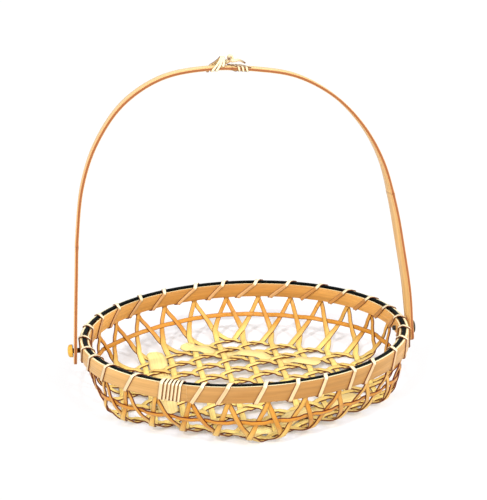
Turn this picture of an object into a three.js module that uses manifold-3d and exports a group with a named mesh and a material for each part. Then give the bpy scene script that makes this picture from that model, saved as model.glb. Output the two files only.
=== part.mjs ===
// Shallow split-bamboo basket in an open hexagonal weave, with a lashed rim and a swinging
// handle. Millimetres, +Z up. The origin lies on the table under the middle of the rim, X runs
// through the two handle pegs and the front is towards -Y.

import * as THREE from 'three';
import { mergeVertices } from 'three/addons/utils/BufferGeometryUtils.js';
import Module from 'manifold-3d';

const wasm = await Module();
wasm.setup();

// Clearance between pieces that touch on the real basket
const fit = 0.3;

// Weave of the bowl
const cell = 23.4;              // from one hexagonal opening to the next, in the base
const longSide = 5;             // openings along each of the four long sides of the base
const shortSide = 4;            // openings along the left and right side of the base
const stripWidth = 4.6;
const stripThickness = 0.8;
const flatMargin = 0.1;         // a strip stays flat this much beyond each crossing
const baseRise = 4.6;           // how far the middle of the base stands off the table
const domeEnd = 0.7;            // the dome fades out from here to the outermost cross strips
const foldStart = 0.13;         // the wall rises from here outside the outermost strips, in openings
const ringHeight = 19.2;        // height of the strand that runs round the wall
const crossingDrop = 1.6;       // middle of the uppermost crossings below the hoops
const stripEndDrop = 2.4;       // ends of the strips below the top edge of the hoops
const wallFlare = 1.3;          // above 1 the wall turns upright towards the rim
const cornerEase = 0.6;         // rounding of the base corners in the wall, in openings

// Wide strips that stiffen the base
const wideWidth = 14;
const wideThickness = 0.5;
const wideEndShares = [0.45, 0.8, 1];  // each end narrows to these shares of the width
const wideEndStep = 0.05;       // distance between those, in openings

// Rim
const rimRadius = 120;          // outer face of the outer hoop
const rimTop = 46.4;            // top edge of both hoops, at the pegs
const rimTilt = 2.2;            // the rim stands higher at the front, in degrees
const hoopHeight = 11.5;
const outerHoopThickness = 2.4;
const innerHoopThickness = 1.9;
const hoopSpace = 2.9;          // room between the hoops for the ends of the weave
const hoopScarf = 11;           // length of the tapered lap joint of a hoop, in degrees
const scarfTip = 0.5;           // thickness left at the tip of the lap
const lapSteps = 3;
const hoopSteps = 60;
const edgeCut = 1.0;            // chamfer along the upper outer edge of the rim, inside and outside
const hiddenCut = 0.3;          // chamfer of the edges that face the space between the hoops
const outerScarfAzimuth = 233;
const innerScarfAzimuth = 256;
const fillerWidth = 3.5;
const fillerHeight = 0.9;
const fillerCut = 0.4;
const fillerSteps = 72;
const fillerJointAzimuth = 96;
const fillerJoint = 0.2;        // space between its two ends, in degrees

// Cane lashing of the rim
const caneWidth = 3.0;
const caneThickness = 0.7;
const lashingGap = 0.5;
const lashings = 30;            // turns round the whole rim
const lashingDrift = 6;         // the turns lie closer together at the front, in degrees
const underRimSlant = 0.7;      // a turn still moves on by this much under the rim, in degrees
const lashingLean = 3;          // from the lower to the upper edge of the outer hoop, in degrees
const closingSlant = 0.2;       // the last turn before the joint ends just beside its start
const jointCaneWidth = 2.1;
const jointTurns = 5;           // close turns over the lap joint of the outer hoop
const jointPitch = 2.7;         // distance between those turns
const jointStart = 235.9;       // azimuth of the first one
const jointLean = 1;
const beforeJoint = 234.3;      // azimuth of the last open turn before them
const afterJoint = 247.1;       // and of the first one after them

// Handle
const handleWidth = 13;
const handleThickness = 2.3;
const handleRise = 199.6;       // from the pegs to the top of the arch
const handleGap = 0.9;          // between the lashing and the handle at the pegs
const handleTilt = 4;           // at rest the handle leans back by this much, in degrees
// The hand-bent arch, as shares of half the span and of the rise
const archShape = [
  [-1, 0], [-0.987, 0.12], [-0.97, 0.26], [-0.946, 0.44], [-0.901, 0.61], [-0.811, 0.755],
  [-0.649, 0.89], [-0.422, 0.975], [-0.146, 1], [0.13, 0.988], [0.357, 0.957], [0.568, 0.88],
  [0.73, 0.77], [0.84, 0.64], [0.905, 0.48], [0.949, 0.31], [0.984, 0.15], [1, 0],
];
const handleTail = 9.5;         // length of the handle below the pegs
const handleEdge = 0.5;
const handleEndRounding = 0.8;
const handleEndPower = 6;       // the higher, the squarer the rounded ends
const handleSteps = 56;
const tailShares = [1, 0.95, 0.85, 0.6];

// Pegs
const pegDrop = 7.6;            // peg axis below the top edge of the hoops
const pegRadius = 1.8;
const pegHeadRadius = 4.7;
const pegHeadLength = 3.9;
const pegTailLength = 2.2;      // beyond the inner hoop
const pegHeadGap = 0.6;         // between the head and the handle
const pegEdge = 0.5;
const roundSides = 20;

// Cane binding and knot at the top of the handle
const bindingMiddle = -5.6;     // from the middle of the basket, towards the right
const bindingWidth = 1.5;
const bindingThickness = 0.8;
const tallStarts = [-14.6, -11.6, -8.6, -5.6];  // lower front edge of each turn, from the top
const tallLeans = [9.5, 8.7, 7.9];              // from there to the peak of the same turn
const peakHeight = 7.2;         // peak of the tall turns above the middle of the handle
const peakWidth = 2.6;
const lowStart = 5.4;
const lowPitch = 2.8;
const lowTurns = 4;
const lowLean = 4;              // how far a low turn moves along the handle across its top
const knotRadius = 0.8;
const knotSteps = 22;
const knotSides = 6;

const colors = {
  weave: 0xe3a94e,
  ring: 0xdb9a41,
  wide: 0xf7dc86,
  outerHoop: 0xdfb46e,
  innerHoop: 0xe2b672,
  filler: 0x14201c,
  lashing: 0xfbe6ab,
  binding: 0xf6e3ae,
  knot: 0xf3dda4,
  handle: 0xe8c07c,
  peg: 0xd9a23c,
};

const degrees = Math.PI / 180;

// Derived sizes of the weave
const rowStep = cell * Math.sqrt(3) / 2;
const cellCount = 2 * shortSide + 4 * longSide;
const cellAngle = 360 / cellCount;
const weaveOffset = (stripThickness + fit) / 2;
const baseMiddle = weaveOffset + stripThickness / 2;
const innerRadius = rimRadius - outerHoopThickness - hoopSpace - innerHoopThickness;
const hoopBottom = rimTop - hoopHeight;
const weaveRadius = innerRadius + innerHoopThickness + hoopSpace / 2;
const crossingHeight = hoopBottom - crossingDrop;
const wideOffset = weaveOffset + stripThickness / 2 + fit + wideThickness / 2;
const pegHeight = rimTop - pegDrop;
const handleFoot = rimRadius + lashingGap + caneThickness + handleGap + handleThickness / 2;
const nearly = 0.01;            // what counts as the same place, in openings or millimetres

// A point turned with the tilted rim, about the peg axis. A share below 1 turns it by less.
function tilted(point, share = 1) {
  const angle = -rimTilt * share * degrees;
  const above = point.z - pegHeight;
  const y = point.y * Math.cos(angle) - above * Math.sin(angle);
  const z = pegHeight + point.y * Math.sin(angle) + above * Math.cos(angle);
  return new THREE.Vector3(point.x, y, z);
}

// A vector in the plane of the base at an angle in degrees
function planar(angle, length = 1) {
  return new THREE.Vector2(Math.cos(angle * degrees), Math.sin(angle * degrees)).multiplyScalar(length);
}

// Strip families: the direction of their strips, and how many there are. The side of the base
// that a family runs along lies half a row beyond its outermost strip.
const families = [
  { angle: 90, count: 2 * longSide },
  { angle: 150, count: longSide + shortSide },
  { angle: 30, count: longSide + shortSide },
];
for (const family of families) {
  family.normal = planar(family.angle - 90);
  family.along = planar(family.angle);
  family.offsets = Array.from({ length: family.count }, (_, i) => (i - (family.count - 1) / 2) * rowStep);
  family.sideDistance = family.count / 2 * rowStep;
}

// The six sides of the base, anticlockwise from the right
const sideFamilies = [0, 1, 2, 0, 1, 2];
const sides = sideFamilies.map((index, i) => ({
  normal: planar(60 * i),
  tangent: planar(60 * i + 90),
  distance: families[index].sideDistance,
  cells: index === 0 ? shortSide : longSide,
}));
let cellsSoFar = 0;
sides.forEach((side, i) => {
  const before = sides[(i + 5) % 6];
  side.start = -(before.distance - side.distance / 2) / Math.sin(60 * degrees);
  side.firstCell = cellsSoFar;
  cellsSoFar += side.cells;
});

// Place on the flat lattice, from the cell count round the wall and the height above the side
// line. Below the side line the sides shorten towards the middle.
function flatPlace(turn, height) {
  const wrapped = ((turn % cellCount) + cellCount) % cellCount;
  const side = sides.findLast((s) => wrapped >= s.firstCell);
  const level = Math.min(height, 0);
  const start = side.start - level / Math.sqrt(3);
  const length = side.cells * cell + 2 * level / Math.sqrt(3);
  const along = start + (wrapped - side.firstCell) / side.cells * length;
  return side.normal.clone().multiplyScalar(side.distance + level).addScaledVector(side.tangent, along);
}

// The cell count and height of a point of the flat lattice
function wallPlace(point) {
  let best = { height: -Infinity };
  for (const side of sides) {
    const height = side.normal.dot(point) - side.distance;
    if (height > best.height) best = { side, height };
  }
  const level = best.height / Math.sqrt(3);
  const start = best.side.start - level;
  const length = best.side.cells * cell + 2 * level;
  const share = (best.side.tangent.dot(point) - start) / length;
  return { turn: best.side.firstCell + share * best.side.cells, height: best.height };
}

const footRadius = Math.min(...sides.map((side, i) => {
  const next = sides[(i + 1) % 6];
  const reach = (next.distance - rowStep / 2 - (side.distance - rowStep / 2) / 2) / Math.sin(60 * degrees);
  return Math.hypot(side.distance - rowStep / 2, reach);
}));

// The base is domed and stands on its six corners. On the left and right it is flat up to the
// wall, so that the outermost strips rest on the table along their whole length.
const flatSide = families[0].offsets[families[0].count - 1];
function baseHeight(point) {
  const dome = Math.max(0, 1 - point.lengthSq() / footRadius ** 2);
  const inside = 1 - THREE.MathUtils.smoothstep(Math.abs(point.x) / flatSide, domeEnd, 1);
  return baseMiddle + baseRise * dome * inside;
}

// The wall starts just outside the outermost strips of the base and ends at the crossings
// below the hoops. From there the strips run straight up between the hoops.
const wallStart = -rowStep / 2 + foldStart * cell;
const wallSpan = rowStep - wallStart;
const ringShare = (rowStep / 2 - wallStart) / wallSpan;
const ringRise = (ringHeight - baseMiddle) / (crossingHeight - baseMiddle);
const heightPower = Math.log(ringRise) / Math.log(ringShare);
const upperSlope = (crossingHeight - ringHeight) / (rowStep / 2);

function bowl(turn, height) {
  const share = THREE.MathUtils.clamp((height - wallStart) / wallSpan, 0, 1);
  const flat = flatPlace(turn, height);
  if (share === 0) return new THREE.Vector3(flat.x, flat.y, baseHeight(flat));
  const eased = flat.clone().multiplyScalar(2)
    .add(flatPlace(turn - cornerEase, height))
    .add(flatPlace(turn + cornerEase, height))
    .divideScalar(4);
  flat.lerp(eased, Math.min(1, 2 * share));
  const round = planar((turn - shortSide / 2) * cellAngle, weaveRadius);
  const blend = 1 - (1 - share) ** wallFlare;
  const place = flat.clone().lerp(round, blend);
  const rise = (crossingHeight - baseMiddle) * share ** heightPower;
  const above = Math.max(0, height - rowStep) * upperSlope;
  return tilted(new THREE.Vector3(place.x, place.y, baseHeight(flat) + rise + above), share);
}

// Surface frame at a place of the bowl: the normal points into the basket
function bowlFrame(turn, height, turnRate, heightRate) {
  const step = 0.02;
  const middle = bowl(turn, height);
  const across = bowl(turn + step, height).sub(bowl(turn - step, height));
  const upward = bowl(turn, height + 2 * step * cell).sub(middle);
  const normal = upward.clone().cross(across).normalize();
  const tangent = across.multiplyScalar(turnRate).addScaledVector(upward, heightRate);
  tangent.addScaledVector(normal, -tangent.dot(normal)).normalize();
  return { middle, normal, tangent };
}

// A closed solid from rings of points. Each ring runs anticlockwise round the direction of
// travel. A looped solid joins its last ring to the first, any other gets flat ends.
function ringSolid(rings, looped = false) {
  const size = rings[0].length;
  const positions = rings.flat().flatMap((point) => point.toArray());
  const faces = [];
  const pairs = looped ? rings.length : rings.length - 1;
  for (let k = 0; k < pairs; k++) {
    const here = k * size;
    const there = (k + 1) % rings.length * size;
    for (let i = 0; i < size; i++) {
      const j = (i + 1) % size;
      faces.push(here + i, here + j, there + j, here + i, there + j, there + i);
    }
  }
  if (!looped) {
    const last = (rings.length - 1) * size;
    for (let i = 1; i < size - 1; i++) {
      faces.push(0, i + 1, i, last, last + i, last + i + 1);
    }
  }
  const geometry = new THREE.BufferGeometry();
  geometry.setAttribute('position', new THREE.Float32BufferAttribute(positions, 3));
  geometry.setIndex(faces);
  return geometry;
}

// Rectangular section of a strip, square to its tangent
function stripRing(middle, tangent, normal, width, thickness) {
  const across = normal.clone().cross(tangent).normalize().multiplyScalar(width / 2);
  const outward = tangent.clone().cross(across).normalize().multiplyScalar(thickness / 2);
  return [[1, 1], [-1, 1], [-1, -1], [1, -1]].map(([a, n]) =>
    middle.clone().addScaledVector(across, a).addScaledVector(outward, n));
}

// Half the length over which a strip must stay flat to clear a strip that crosses it
function flatReach(tangent, otherTangent, halfWidth = stripWidth / 2) {
  const cosine = Math.abs(tangent.dot(otherTangent));
  const sine = Math.sqrt(1 - cosine ** 2);
  return (halfWidth * cosine + stripWidth / 2) / sine + flatMargin;
}

// A woven strip lies flat over each crossing and slopes from one crossing to the next
function wovenStrip(stations, looped = false) {
  const rings = [];
  for (const { frame, offset, reach, before = reach, after = reach } of stations) {
    const middle = frame.middle.clone().addScaledVector(frame.normal, offset);
    for (const distance of [-before, after]) {
      const point = middle.clone().addScaledVector(frame.tangent, distance);
      rings.push(stripRing(point, frame.tangent, frame.normal, stripWidth, stripThickness));
    }
  }
  return ringSolid(rings, looped);
}

// Crossings of one strip inside the base, in order. A strip passes over the family that is
// turned 60 degrees anticlockwise from it, and under the other one.
function baseCrossings(family, offset) {
  const found = [];
  for (const other of families) {
    if (other === family) continue;
    const sine = family.along.dot(other.normal);
    const over = (other.angle - family.angle + 180) % 180 === 60;
    for (const otherOffset of other.offsets) {
      const travel = (otherOffset - offset * family.normal.dot(other.normal)) / sine;
      const point = family.normal.clone().multiplyScalar(offset).addScaledVector(family.along, travel);
      const place = wallPlace(point);
      if (place.height < nearly * cell) found.push({ travel, point, place, over, other });
    }
  }
  return found.sort((a, b) => a.travel - b.travel);
}

// Frame of a strip at a point of the base, from the change of its place along the strip
function baseFrame(point, along) {
  const step = 0.05;
  const place = wallPlace(point);
  const ahead = wallPlace(point.clone().addScaledVector(along, step));
  const behind = wallPlace(point.clone().addScaledVector(along, -step));
  const frame = bowlFrame(place.turn, place.height, 1, 0);
  const forward = bowl(ahead.turn, ahead.height).sub(bowl(behind.turn, behind.height));
  forward.addScaledVector(frame.normal, -forward.dot(frame.normal)).normalize();
  return { middle: frame.middle, normal: frame.normal, tangent: forward };
}

// The part of a strip above the base: over or under the ring, then the crossing below the
// hoops, then the end that is held between the hoops
const endHeight = rowStep + (rimTop - stripEndDrop - crossingHeight) / upperSlope;
function wallStations(exit, along, over) {
  const side = sides.findLast((s) => exit.turn >= s.firstCell - nearly);
  const lean = Math.sign(along.dot(side.tangent));
  const turnAt = (height) => exit.turn + lean * height / Math.sqrt(3) / cell;
  const frameAt = (height) => bowlFrame(turnAt(height), height, lean / Math.sqrt(3), 1);
  const offset = over ? weaveOffset : -weaveOffset;
  const atRing = frameAt(rowStep / 2);
  const ring = bowlFrame(turnAt(rowStep / 2), rowStep / 2, 1, 0);
  const last = frameAt(rowStep);
  const partner = bowlFrame(turnAt(rowStep), rowStep, -lean / Math.sqrt(3), 1);
  const end = frameAt(endHeight);
  const lastReach = flatReach(last.tangent, partner.tangent);
  const endReach = (end.middle.distanceTo(last.middle) - lastReach) / 2;
  return [
    { frame: atRing, offset: -offset, reach: flatReach(atRing.tangent, ring.tangent) },
    { frame: last, offset, reach: lastReach },
    { frame: end, offset, before: endReach, after: 0 },
  ];
}

function reversed(station) {
  const { frame, offset, reach, before = reach, after = reach } = station;
  return {
    frame: { ...frame, tangent: frame.tangent.clone().negate() },
    offset,
    before: after,
    after: before,
  };
}

function weaveStrip(family, offset) {
  const crossings = baseCrossings(family, offset);
  const inBase = crossings.map(({ point, over, other }) => {
    const frame = baseFrame(point, family.along);
    return {
      frame,
      offset: over ? weaveOffset : -weaveOffset,
      reach: flatReach(frame.tangent, baseFrame(point, other.along).tangent),
    };
  });
  const first = crossings[0];
  const last = crossings[crossings.length - 1];
  const risingEnd = wallStations(last.place, family.along, last.over);
  const risingStart = wallStations(first.place, family.along.clone().negate(), first.over);
  return wovenStrip([...risingStart.reverse().map(reversed), ...inBase, ...risingEnd]);
}

// The strand that runs round the wall. Its two ends meet behind a crossing strip.
function wallRing() {
  const firstTurn = cellCount - shortSide + 0.25;
  const stations = Array.from({ length: 2 * cellCount + 1 }, (_, k) => {
    const turn = firstTurn + k / 2;
    const isInside = k % 2 === 0;
    const frame = bowlFrame(turn, rowStep / 2, 1, 0);
    const crossing = bowlFrame(turn, rowStep / 2, (isInside ? -1 : 1) / Math.sqrt(3), 1);
    return {
      frame,
      offset: isInside ? weaveOffset : -weaveOffset,
      reach: flatReach(frame.tangent, crossing.tangent),
    };
  });
  stations[0].before = -fit;
  stations[2 * cellCount].after = -fit;
  return wovenStrip(stations);
}

// A wide strip of the base lies along a row of openings, over one crossing and under the next
function wideStrip({ family, row, from, over, overhangs }) {
  const { normal, along } = families[family];
  const flatHalf = flatReach(planar(0), planar(60), wideWidth / 2);
  const line = normal.clone().multiplyScalar(row * rowStep);
  const frameAt = (travel) => baseFrame(line.clone().addScaledVector(along, travel * cell), along);
  const rings = [];
  const addRing = (frame, reach, offset, width) => {
    const middle = frame.middle.clone()
      .addScaledVector(frame.normal, offset)
      .addScaledVector(frame.tangent, reach);
    rings.push(stripRing(middle, frame.tangent, frame.normal, width, wideThickness));
  };
  const sideOf = (isOver) => (isOver ? wideOffset : -wideOffset);
  const startOffset = sideOf(over[0]);
  const endOffset = sideOf(over[over.length - 1]);
  wideEndShares.forEach((share, i) => {
    const frame = frameAt(from - overhangs[0] + i * wideEndStep);
    addRing(frame, 0, startOffset, wideWidth * share);
  });
  over.forEach((isOver, i) => {
    const frame = frameAt(from + i);
    if (i > 0) addRing(frame, -flatHalf, sideOf(isOver), wideWidth);
    if (i < over.length - 1) addRing(frame, flatHalf, sideOf(isOver), wideWidth);
  });
  wideEndShares.toReversed().forEach((share, i) => {
    const stepsLeft = wideEndShares.length - 1 - i;
    const frame = frameAt(from + over.length - 1 + overhangs[1] - stepsLeft * wideEndStep);
    addRing(frame, 0, endOffset, wideWidth * share);
  });
  return ringSolid(rings);
}

// Sweep of a section round the rim. The section is a list of radius and height pairs that
// runs anticlockwise as seen against the direction of travel.
function rimSweep(azimuths, sectionAt) {
  const rings = azimuths.map((azimuth) => sectionAt(azimuth).map(([radius, height]) => {
    const flat = planar(azimuth, radius);
    return tilted(new THREE.Vector3(flat.x, flat.y, height));
  }));
  return ringSolid(rings);
}

function evenly(from, to, steps) {
  return Array.from({ length: steps + 1 }, (_, i) => from + (to - from) * i / steps);
}

// A bent hoop: its ends taper and lie over each other within the thickness of the hoop
function hoop(inner, outer, chamferInside, chamferOutside, start) {
  const gapAngle = fit / inner / degrees;
  const lapMiddle = (share) => inner + scarfTip + share * (outer - inner - 2 * scarfTip - fit);
  const azimuths = [
    ...evenly(gapAngle, hoopScarf, lapSteps),
    ...evenly(hoopScarf + nearly, 360 - nearly, hoopSteps),
    ...evenly(360, 360 + hoopScarf - gapAngle, lapSteps),
  ].map((angle) => start + angle);
  return rimSweep(azimuths, (azimuth) => {
    const angle = azimuth - start;
    const starting = angle <= hoopScarf;
    const ending = angle > 360 - nearly / 2;
    const low = ending ? lapMiddle((angle - 360) / hoopScarf) + fit : inner;
    const high = starting ? lapMiddle(angle / hoopScarf) : outer;
    const lowCut = ending ? nearly : chamferInside;
    const highCut = starting ? nearly : chamferOutside;
    return [
      [high, hoopBottom + highCut], [high, rimTop - highCut], [high - highCut, rimTop],
      [low + lowCut, rimTop], [low, rimTop - lowCut], [low, hoopBottom],
    ].reverse();
  });
}

const weldDistance = 1e-4;
function toManifold(geometry) {
  const bare = geometry.clone().deleteAttribute('normal').deleteAttribute('uv');
  const merged = mergeVertices(bare, weldDistance);
  return new wasm.Manifold(new wasm.Mesh({
    numProp: 3,
    vertProperties: new Float32Array(merged.attributes.position.array),
    triVerts: new Uint32Array(merged.index.array),
  }));
}

function drilled(geometry, tool) {
  const result = toManifold(geometry).subtract(toManifold(tool)).getMesh();
  const cut = new THREE.BufferGeometry();
  cut.setAttribute('position', new THREE.Float32BufferAttribute(result.vertProperties, 3));
  cut.setIndex(Array.from(result.triVerts));
  return cut;
}

// Bore for both pegs, right across the basket at the height of the peg axis
function pegBore(from, to) {
  const radius = pegRadius + fit;
  const bore = new THREE.CylinderGeometry(radius, radius, to - from, roundSides);
  bore.rotateZ(-Math.PI / 2);
  bore.translate((from + to) / 2, 0, pegHeight);
  return bore;
}
const boreStart = innerRadius - pegTailLength;
const boreEnd = handleFoot + handleThickness;
const leftBore = pegBore(-boreEnd, -boreStart);
const rightBore = pegBore(boreStart, boreEnd);

function drilledBothSides(geometry) {
  return drilled(drilled(geometry, leftBore), rightBore);
}

// Outline of the rim that the lashing goes round, as radius and height, from the lower outer
// edge up, over the filler and down inside
const fillerTop = rimTop + fit + fillerHeight;
const fillerMiddle = (innerRadius + rimRadius) / 2;
const rimOutline = [
  [rimRadius, hoopBottom],
  [rimRadius, rimTop - edgeCut],
  [fillerMiddle + fillerWidth / 2 - fillerCut, fillerTop],
  [fillerMiddle - fillerWidth / 2 + fillerCut, fillerTop],
  [innerRadius, rimTop - edgeCut],
  [innerRadius, hoopBottom],
].map(([radius, height]) => new THREE.Vector2(radius, height));

// Outline moved out by a distance
function outset(outline, distance) {
  return outline.map((corner, i) => {
    const before = corner.clone().sub(outline[(i + outline.length - 1) % outline.length]).normalize();
    const after = outline[(i + 1) % outline.length].clone().sub(corner).normalize();
    const first = new THREE.Vector2(before.y, -before.x);
    const second = new THREE.Vector2(after.y, -after.x);
    const miter = first.add(second).divideScalar(1 + before.dot(after));
    return corner.clone().addScaledVector(miter, distance);
  });
}

// A flat cane wound round an outline in one unbroken length. A turn starts at the first corner
// of the outline, moves on by its lean, and by the rest of its pitch on the way back to that
// corner. The shares say how much of the lean and of the rest lies behind each corner. One
// unit along the outline's axis measures unitLength; it is negative if the axis runs the other
// way round.
function woundCane({ outline, shares, starts, leans, place, unitLength, width, thickness, gap }) {
  const inner = outset(outline, gap);
  const outer = outset(outline, gap + thickness);
  const stops = [];
  for (let turn = 0; turn < starts.length - 1; turn++) {
    const rest = starts[turn + 1] - starts[turn] - leans[turn];
    shares.forEach(([leanShare, restShare], corner) => {
      stops.push({ corner, along: starts[turn] + leanShare * leans[turn] + restShare * rest });
    });
  }
  const rings = stops.map(({ corner, along }, i) => {
    const before = stops[Math.max(i - 1, 0)];
    const after = stops[Math.min(i + 1, stops.length - 1)];
    const rise = inner[before.corner].distanceTo(inner[corner]);
    const climb = rise + inner[corner].distanceTo(inner[after.corner]);
    const slope = (after.along - before.along) * unitLength / climb;
    const half = width / 2 * Math.hypot(1, slope) / unitLength;
    return [
      place(along + half, outer[corner]), place(along - half, outer[corner]),
      place(along - half, inner[corner]), place(along + half, inner[corner]),
    ];
  });
  return { geometry: ringSolid(rings), gap: leastGap(rings, outline.length) };
}

// Least gap of a wound cane to itself, between corner points that are a turn or more apart
function leastGap(rings, turnLength) {
  let least = Infinity;
  rings.forEach((ring, i) => {
    for (const other of rings.slice(i + turnLength - 1)) {
      for (const a of ring) {
        for (const b of other) least = Math.min(least, a.distanceTo(b));
      }
    }
  });
  return least;
}

// Where each turn of the lashing passes under the hoops: kept inside an opening of the weave,
// clear of the crossings below the hoops
const stripReach = 0.85 * stripWidth;  // half a slanting strip and half a cane, along the rim
const caneReach = 0.65 * caneWidth;
const turnRoom = cellAngle / 2 - (stripReach + caneReach + fit) / weaveRadius / degrees;
function lashingAzimuth(index) {
  const even = index * 360 / lashings;
  const wanted = even - lashingDrift * Math.cos(even * degrees);
  const opening = (Math.floor(wanted / cellAngle) + 0.5) * cellAngle;
  return opening + THREE.MathUtils.clamp(wanted - opening, underRimSlant - turnRoom, turnRoom);
}

function rimPlace(azimuth, corner) {
  const outward = planar(azimuth, corner.x);
  return tilted(new THREE.Vector3(outward.x, outward.y, corner.y));
}

// Up the outer face, over the filler and down the inner face, which takes most of the rest
const lashingShares = [[0, 0], [1, 0], [1, 0.06], [1, 0.14], [1, 0.2], [1, 0.92]];

function lashing(starts, leans, width = caneWidth) {
  return woundCane({
    outline: rimOutline,
    shares: lashingShares,
    starts,
    leans,
    place: rimPlace,
    unitLength: -rimRadius * degrees,
    width,
    thickness: caneThickness,
    gap: lashingGap,
  });
}

// Two canes cover half of the rim each. They part at the joint of the outer hoop, which has
// close turns of its own, and meet at the back on the right.
const jointIndex = Math.floor(afterJoint / 360 * lashings);
const meetIndex = jointIndex + lashings / 2;
const indices = (from, to) => Array.from({ length: to - from + 1 }, (_, i) => from + i);
const frontStarts = [afterJoint, ...indices(jointIndex + 1, meetIndex).map(lashingAzimuth)];
const backStarts = [
  ...indices(meetIndex, jointIndex + lashings - 2).map(lashingAzimuth),
  beforeJoint + 360,
  beforeJoint + 360 + jointLean + closingSlant,
];
const jointStep = jointPitch / rimRadius / degrees;
const jointStarts = indices(0, jointTurns).map((i) => jointStart + i * jointStep);
const frontLashing = lashing(frontStarts, frontStarts.map(() => lashingLean));
const backLeans = backStarts.map((start) => (start < beforeJoint + 360 ? lashingLean : jointLean));
const backLashing = lashing(backStarts, backLeans);
const jointLashing = lashing(jointStarts, jointStarts.map(() => jointLean), jointCaneWidth);

// Handle: the middle line of the bent strip, from the left peg over the top to the right peg
const handleArch = new THREE.CatmullRomCurve3(archShape.map(([side, rise]) =>
  new THREE.Vector3(side * handleFoot, 0, pegHeight + rise * handleRise)));
handleArch.arcLengthDivisions = 2000;

// The handle and all that is on it lean back about the peg axis
function leanedBack(geometry) {
  geometry.translate(0, 0, -pegHeight);
  geometry.rotateX(-handleTilt * degrees);
  return geometry.translate(0, 0, pegHeight);
}

// Both ends run on below the pegs in line with the legs
function handleLine() {
  const arch = handleArch.getSpacedPoints(handleSteps);
  const tail = (foot, next) => tailShares.map((share) => {
    const away = foot.clone().sub(next).normalize();
    return foot.clone().addScaledVector(away, handleTail * share);
  });
  return [
    ...tail(arch[0], arch[1]),
    ...arch,
    ...tail(arch[handleSteps], arch[handleSteps - 1]).reverse(),
  ];
}

function handleStrip() {
  const line = handleLine();
  const rings = line.map((point, i) => {
    const before = line[Math.max(i - 1, 0)];
    const after = line[Math.min(i + 1, line.length - 1)];
    const tangent = after.clone().sub(before).normalize();
    const off = new THREE.Vector3(-tangent.z, 0, tangent.x);
    const belowPeg = Math.max(0, pegHeight - point.z) / handleTail;
    const half = handleWidth / 2 * Math.sqrt(1 - handleEndRounding * belowPeg ** handleEndPower);
    const thick = handleThickness / 2;
    const corners = [
      [half - handleEdge, thick], [handleEdge - half, thick],
      [-half, thick - handleEdge], [-half, handleEdge - thick],
      [handleEdge - half, -thick], [half - handleEdge, -thick],
      [half, handleEdge - thick], [half, thick - handleEdge],
    ];
    return corners.map(([across, lift]) =>
      new THREE.Vector3(point.x, across, point.z).addScaledVector(off, lift));
  });
  return leanedBack(drilledBothSides(ringSolid(rings)));
}

// A peg with a domed head outside the handle, and a plain tail inside the basket
function peg(sign) {
  const headStart = handleFoot + handleThickness / 2 + pegHeadGap;
  const dome = [0, 30, 60].map((angle) => [
    pegHeadRadius * Math.cos(angle * degrees),
    headStart + pegHeadLength / 2 * (1 + Math.sin(angle * degrees)),
  ]);
  const profile = [
    [0, boreStart], [pegRadius - pegEdge, boreStart], [pegRadius, boreStart + pegEdge],
    [pegRadius, headStart], [pegHeadRadius - pegEdge, headStart],
    [pegHeadRadius, headStart + pegEdge], ...dome, [0, headStart + pegHeadLength],
  ].map(([radius, along]) => new THREE.Vector2(radius, along));
  const geometry = new THREE.LatheGeometry(profile, roundSides);
  geometry.rotateZ(-Math.PI / 2);
  if (sign < 0) geometry.rotateZ(Math.PI);
  geometry.translate(0, 0, pegHeight);
  return geometry;
}

// Binding at the top of the handle. Places are given by the distance along the handle from
// the middle of the binding, across the handle and off its middle.
const archLength = handleArch.getLength();
const middleShare = evenly(0, 1, archLength).find((share) => {
  return handleArch.getPointAt(share).x > bindingMiddle;
});
function handlePlace(along, corner) {
  const share = middleShare + along / archLength;
  const point = handleArch.getPointAt(share);
  const tangent = handleArch.getTangentAt(share);
  return new THREE.Vector3(point.x - tangent.z * corner.y, corner.x, point.z + tangent.x * corner.y);
}

const halfWidth = handleWidth / 2;
const halfThickness = handleThickness / 2;
const lowOutline = [
  [-halfWidth, -halfThickness], [halfWidth, -halfThickness],
  [halfWidth, halfThickness], [-halfWidth, halfThickness],
];
const tallOutline = [
  [-halfWidth, -halfThickness], [halfWidth, -halfThickness], [halfWidth, halfThickness],
  [peakWidth / 2, peakHeight], [-peakWidth / 2, peakHeight], [-halfWidth, halfThickness],
];

function binding(corners, shares, starts, leans) {
  return woundCane({
    outline: corners.map(([across, off]) => new THREE.Vector2(across, off)),
    shares,
    starts,
    leans,
    place: handlePlace,
    unitLength: 1,
    width: bindingWidth,
    thickness: bindingThickness,
    gap: fit,
  });
}

const tallShares = [[0, 0], [0.1, 0], [0.4, 0], [1, 0], [1, 0.06], [1, 0.6]];
const tallBinding = binding(tallOutline, tallShares, tallStarts, tallLeans);
const lowShares = [[0, 0], [0.9, 0], [1, 0], [1, 0.85]];
const lowStarts = Array.from({ length: lowTurns + 1 }, (_, i) => lowStart + i * lowPitch);
const lowBinding = binding(lowOutline, lowShares, lowStarts, lowStarts.map(() => -lowLean));

// Knot: the cane comes out from under the tall turns, curls back over itself and ends free.
// Each place is a distance along the handle, across it and off its middle.
const knotPath = new THREE.CatmullRomCurve3([
  [-3.4, 0.6, 2.8], [-1.4, 0.8, 3.6], [1.4, 1, 4.8], [3.2, 0.8, 6.4], [2.8, 0, 8], [1.2, -1.4, 8.4],
  [0.4, -3, 7], [1.8, -3.8, 5.4], [4.6, -3.6, 5.4], [7.4, -3.4, 5.8], [10, -3.2, 5], [12.2, -3, 3.8],
].map(([along, across, off]) => handlePlace(along, new THREE.Vector2(across, off))));

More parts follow.
